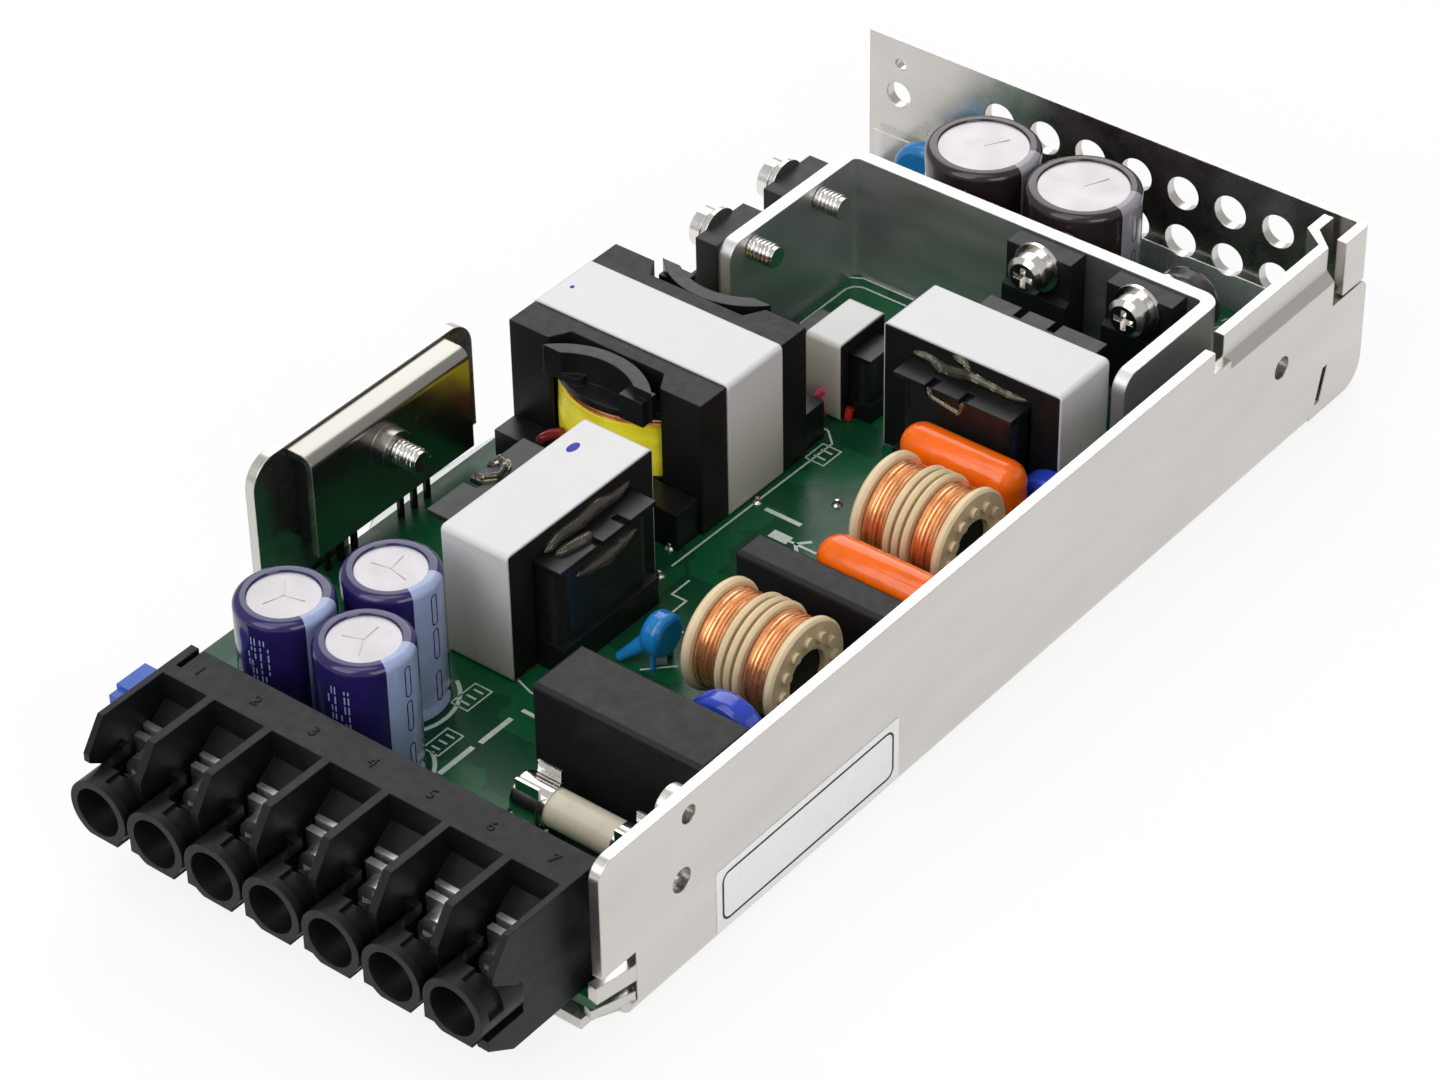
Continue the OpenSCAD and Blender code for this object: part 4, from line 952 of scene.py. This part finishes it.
def solder_joints():
    """Small bright cones of solder round cut leads."""
    shape = Shape()
    for x, y in SOLDER_AT:
        shape.lathe((x, y, BOARD_TOP), SOLDER_PROFILE, steps=20)
    shape.make("solder_joints", ["solder"], "steel")


def leads():
    """Bare and sleeved wire ends of the wound parts."""
    shape = Shape()
    for skin, radius, sides, path in WIRE_ENDS:
        shape.tube(path, radius, sides, skin)
    shape.make("wire_ends", ["wire", "red_sleeve", "pink_wire", "red_wire"], "copper")


def swell(run):
    """Points and radii along a run, smoothed between its points and tapered at both ends."""
    path = [Vector(p[:3]) for p in run]
    radii = [p[3] for p in run]
    points, sizes = [], []
    for i in range(len(path) - 1):
        for k in range(RUN_STEPS):
            t = k / RUN_STEPS
            points.append(path[i].lerp(path[i + 1], t))
            sizes.append(radii[i] + (radii[i + 1] - radii[i]) * (3 - 2 * t) * t * t)
    points.append(path[-1])
    sizes.append(radii[-1])
    for k, share in enumerate(RUN_TAPER):
        sizes[k] *= share
        sizes[-1 - k] *= share
    return points, sizes


def adhesive():
    """Clear adhesive on the bobbins of the two chokes."""
    shape = Shape()
    for run in ADHESIVE_RUNS:
        shape.tube(*swell(run), 12)
    shape.make("clear_adhesive", ["glue"], "film")


solder_joints()
leads()
adhesive()


# Terminal numbers

POLES = 7
DIGIT_SIZE = 2.3
DIGIT_RISE = 0.1
DIGIT_Y = 1.2


def digit_mesh(number):
    """Solid figure lying on zero, facing up."""
    curve = bpy.data.curves.new(f"number_{number}", "FONT")
    curve.body = str(number)
    curve.size = DIGIT_SIZE * MM
    curve.extrude = DIGIT_RISE * MM
    curve.align_x = "CENTER"
    text = bpy.data.objects.new(f"number_{number}_curve", curve)
    bpy.context.scene.collection.objects.link(text)
    bpy.context.view_layer.update()
    solid = text.evaluated_get(bpy.context.evaluated_depsgraph_get())
    mesh = bpy.data.meshes.new_from_object(solid)
    bpy.data.objects.remove(text)
    return mesh


def terminal_numbers():
    """Raised numbers on the bar of the terminal block, one behind each bay."""
    low, high = node_box("terminal_block")
    for index in range(POLES):
        bay_x = low.x + (index + 0.5) * (high.x - low.x) / POLES
        mesh = digit_mesh(index + 1)
        mesh.transform(Matrix.Translation((Vector((bay_x, DIGIT_Y, high.z)) + FRONT) * MM))
        mesh.materials.clear()
        mesh.materials.append(MAT["block"])
        place(f"terminal_number_{index + 1}", mesh, "block")


terminal_numbers()


# Tape marks

def blot(shape, at, reach, top):
    """Oval ink mark on a level face."""
    circle = arc((0, 0), 1, 0, 345, 23)
    outline = [(at[0] + reach[0] * x, at[1] + reach[1] * y) for x, y in circle]
    shape.loft([[(x, y, top + rise) for x, y in outline] for rise in (-0.01, 0.02)])


def tape_marks():
    """A violet ink blot on the choke's tape and a dot on the transformer's."""
    shape = Shape()
    blot(shape, (-12.2, 59.5), (0.65, 1.15), node_box("output_choke_tape")[1].z)
    blot(shape, (-33.55, 85.0), (0.3, 0.35), node_box("main_transformer_tape")[1].z)
    shape.make("tape_marks", ["violet_ink"], "tape_white")


tape_marks()


# Studio

FLOOR_SIZE = 6000
FLOOR_DROP = 0.02
FLOOR_WHITE = 0.85
TENT_LIGHT = 0.40
TENT_GLOSS = 0.15

# Place in metres, size in metres and power in watts of each lamp; all aim at the origin
LAMPS = {
    "back_lamp": ((-0.50, 0.62, 0.62), 0.7, 3.6),
    "top_lamp": ((-0.05, -0.15, 0.85), 0.5, 1.6),
    "side_lamp": ((0.80, -0.35, 0.40), 0.5, 2.2),
    "front_lamp": ((-0.15, -0.85, 0.75), 0.8, 5.5),
}
CAMERA_AT = (288.067, -282.655, 363.886)
CAMERA_AZIMUTH = 39.007
CAMERA_ELEVATION = 37.895
CAMERA_ROLL = -1.056
CAMERA_LENS = 114.54


def floor_material():
    """Pale floor that shows white to the camera and to reflections and keeps a soft shadow."""
    material = bpy.data.materials.new("studio_floor")
    material.use_nodes = True
    tree = material.node_tree
    shader = tree.nodes["Principled BSDF"]
    shader.inputs["Base Color"].default_value = (0.93, 0.93, 0.93, 1)
    shader.inputs["Roughness"].default_value = 0.9
    shader.inputs["Specular IOR Level"].default_value = 0.0
    rays = tree.nodes.new("ShaderNodeLightPath").outputs
    seen = math_node(tree, "MAXIMUM", rays["Is Camera Ray"], rays["Is Glossy Ray"])
    seen = math_node(tree, "MAXIMUM", seen, rays["Is Transmission Ray"])
    white = tree.nodes.new("ShaderNodeEmission")
    mix = tree.nodes.new("ShaderNodeMixShader")
    tree.links.new(math_node(tree, "MULTIPLY", seen, FLOOR_WHITE), mix.inputs[0])
    tree.links.new(shader.outputs[0], mix.inputs[1])
    tree.links.new(white.outputs[0], mix.inputs[2])
    tree.links.new(mix.outputs[0], tree.nodes["Material Output"].inputs["Surface"])
    return material


def add_floor():
    """Wide floor just under the object."""
    half = FLOOR_SIZE / 2 * MM
    corners = [(-half, -half, 0), (half, -half, 0), (half, half, 0), (-half, half, 0)]
    mesh = bpy.data.meshes.new("floor")
    mesh.from_pydata(corners, [], [(0, 1, 2, 3)])
    mesh.materials.append(floor_material())
    floor = bpy.data.objects.new("floor", mesh)
    floor.location.z = -FLOOR_DROP * MM
    bpy.context.scene.collection.objects.link(floor)


def add_world():
    """Even white light all round, a little brighter in reflections, as in a light tent."""
    world = bpy.data.worlds.new("studio")
    world.use_nodes = True
    tree = world.node_tree
    background = tree.nodes["Background"]
    background.inputs["Color"].default_value = (1, 1, 1, 1)
    glossy = tree.nodes.new("ShaderNodeLightPath").outputs["Is Glossy Ray"]
    strength = math_node(tree, "MULTIPLY_ADD", glossy, TENT_GLOSS, TENT_LIGHT)
    tree.links.new(strength, background.inputs["Strength"])
    bpy.context.scene.world = world


def add_lamps():
    """Large soft lamps aimed at the object."""
    for name, (at, size, power) in LAMPS.items():
        lamp = bpy.data.lights.new(name, "AREA")
        lamp.size = size
        lamp.energy = power
        holder = bpy.data.objects.new(name, lamp)
        holder.location = at
        holder.rotation_euler = (-Vector(at)).to_track_quat("-Z", "Y").to_euler()
        bpy.context.scene.collection.objects.link(holder)


def add_camera():
    """Camera at the photograph's angle."""
    azimuth, elevation = math.radians(CAMERA_AZIMUTH), math.radians(CAMERA_ELEVATION)
    level = math.cos(elevation)
    back = Vector((math.sin(azimuth) * level, -math.cos(azimuth) * level, math.sin(elevation)))
    roll = Matrix.Rotation(math.radians(CAMERA_ROLL), 3, "Z")
    turn = (-back).to_track_quat("-Z", "Y").to_matrix() @ roll
    data = bpy.data.cameras.new("camera")
    data.lens = CAMERA_LENS
    data.sensor_width = 36
    data.clip_start = 0.01
    camera = bpy.data.objects.new("camera", data)
    camera.matrix_world = Matrix.Translation((Vector(CAMERA_AT) + FRONT) * MM) @ turn.to_4x4()
    bpy.context.scene.collection.objects.link(camera)
    bpy.context.scene.camera = camera


add_floor()
add_world()
add_lamps()
add_camera()
bpy.context.scene.view_settings.view_transform = "Standard"
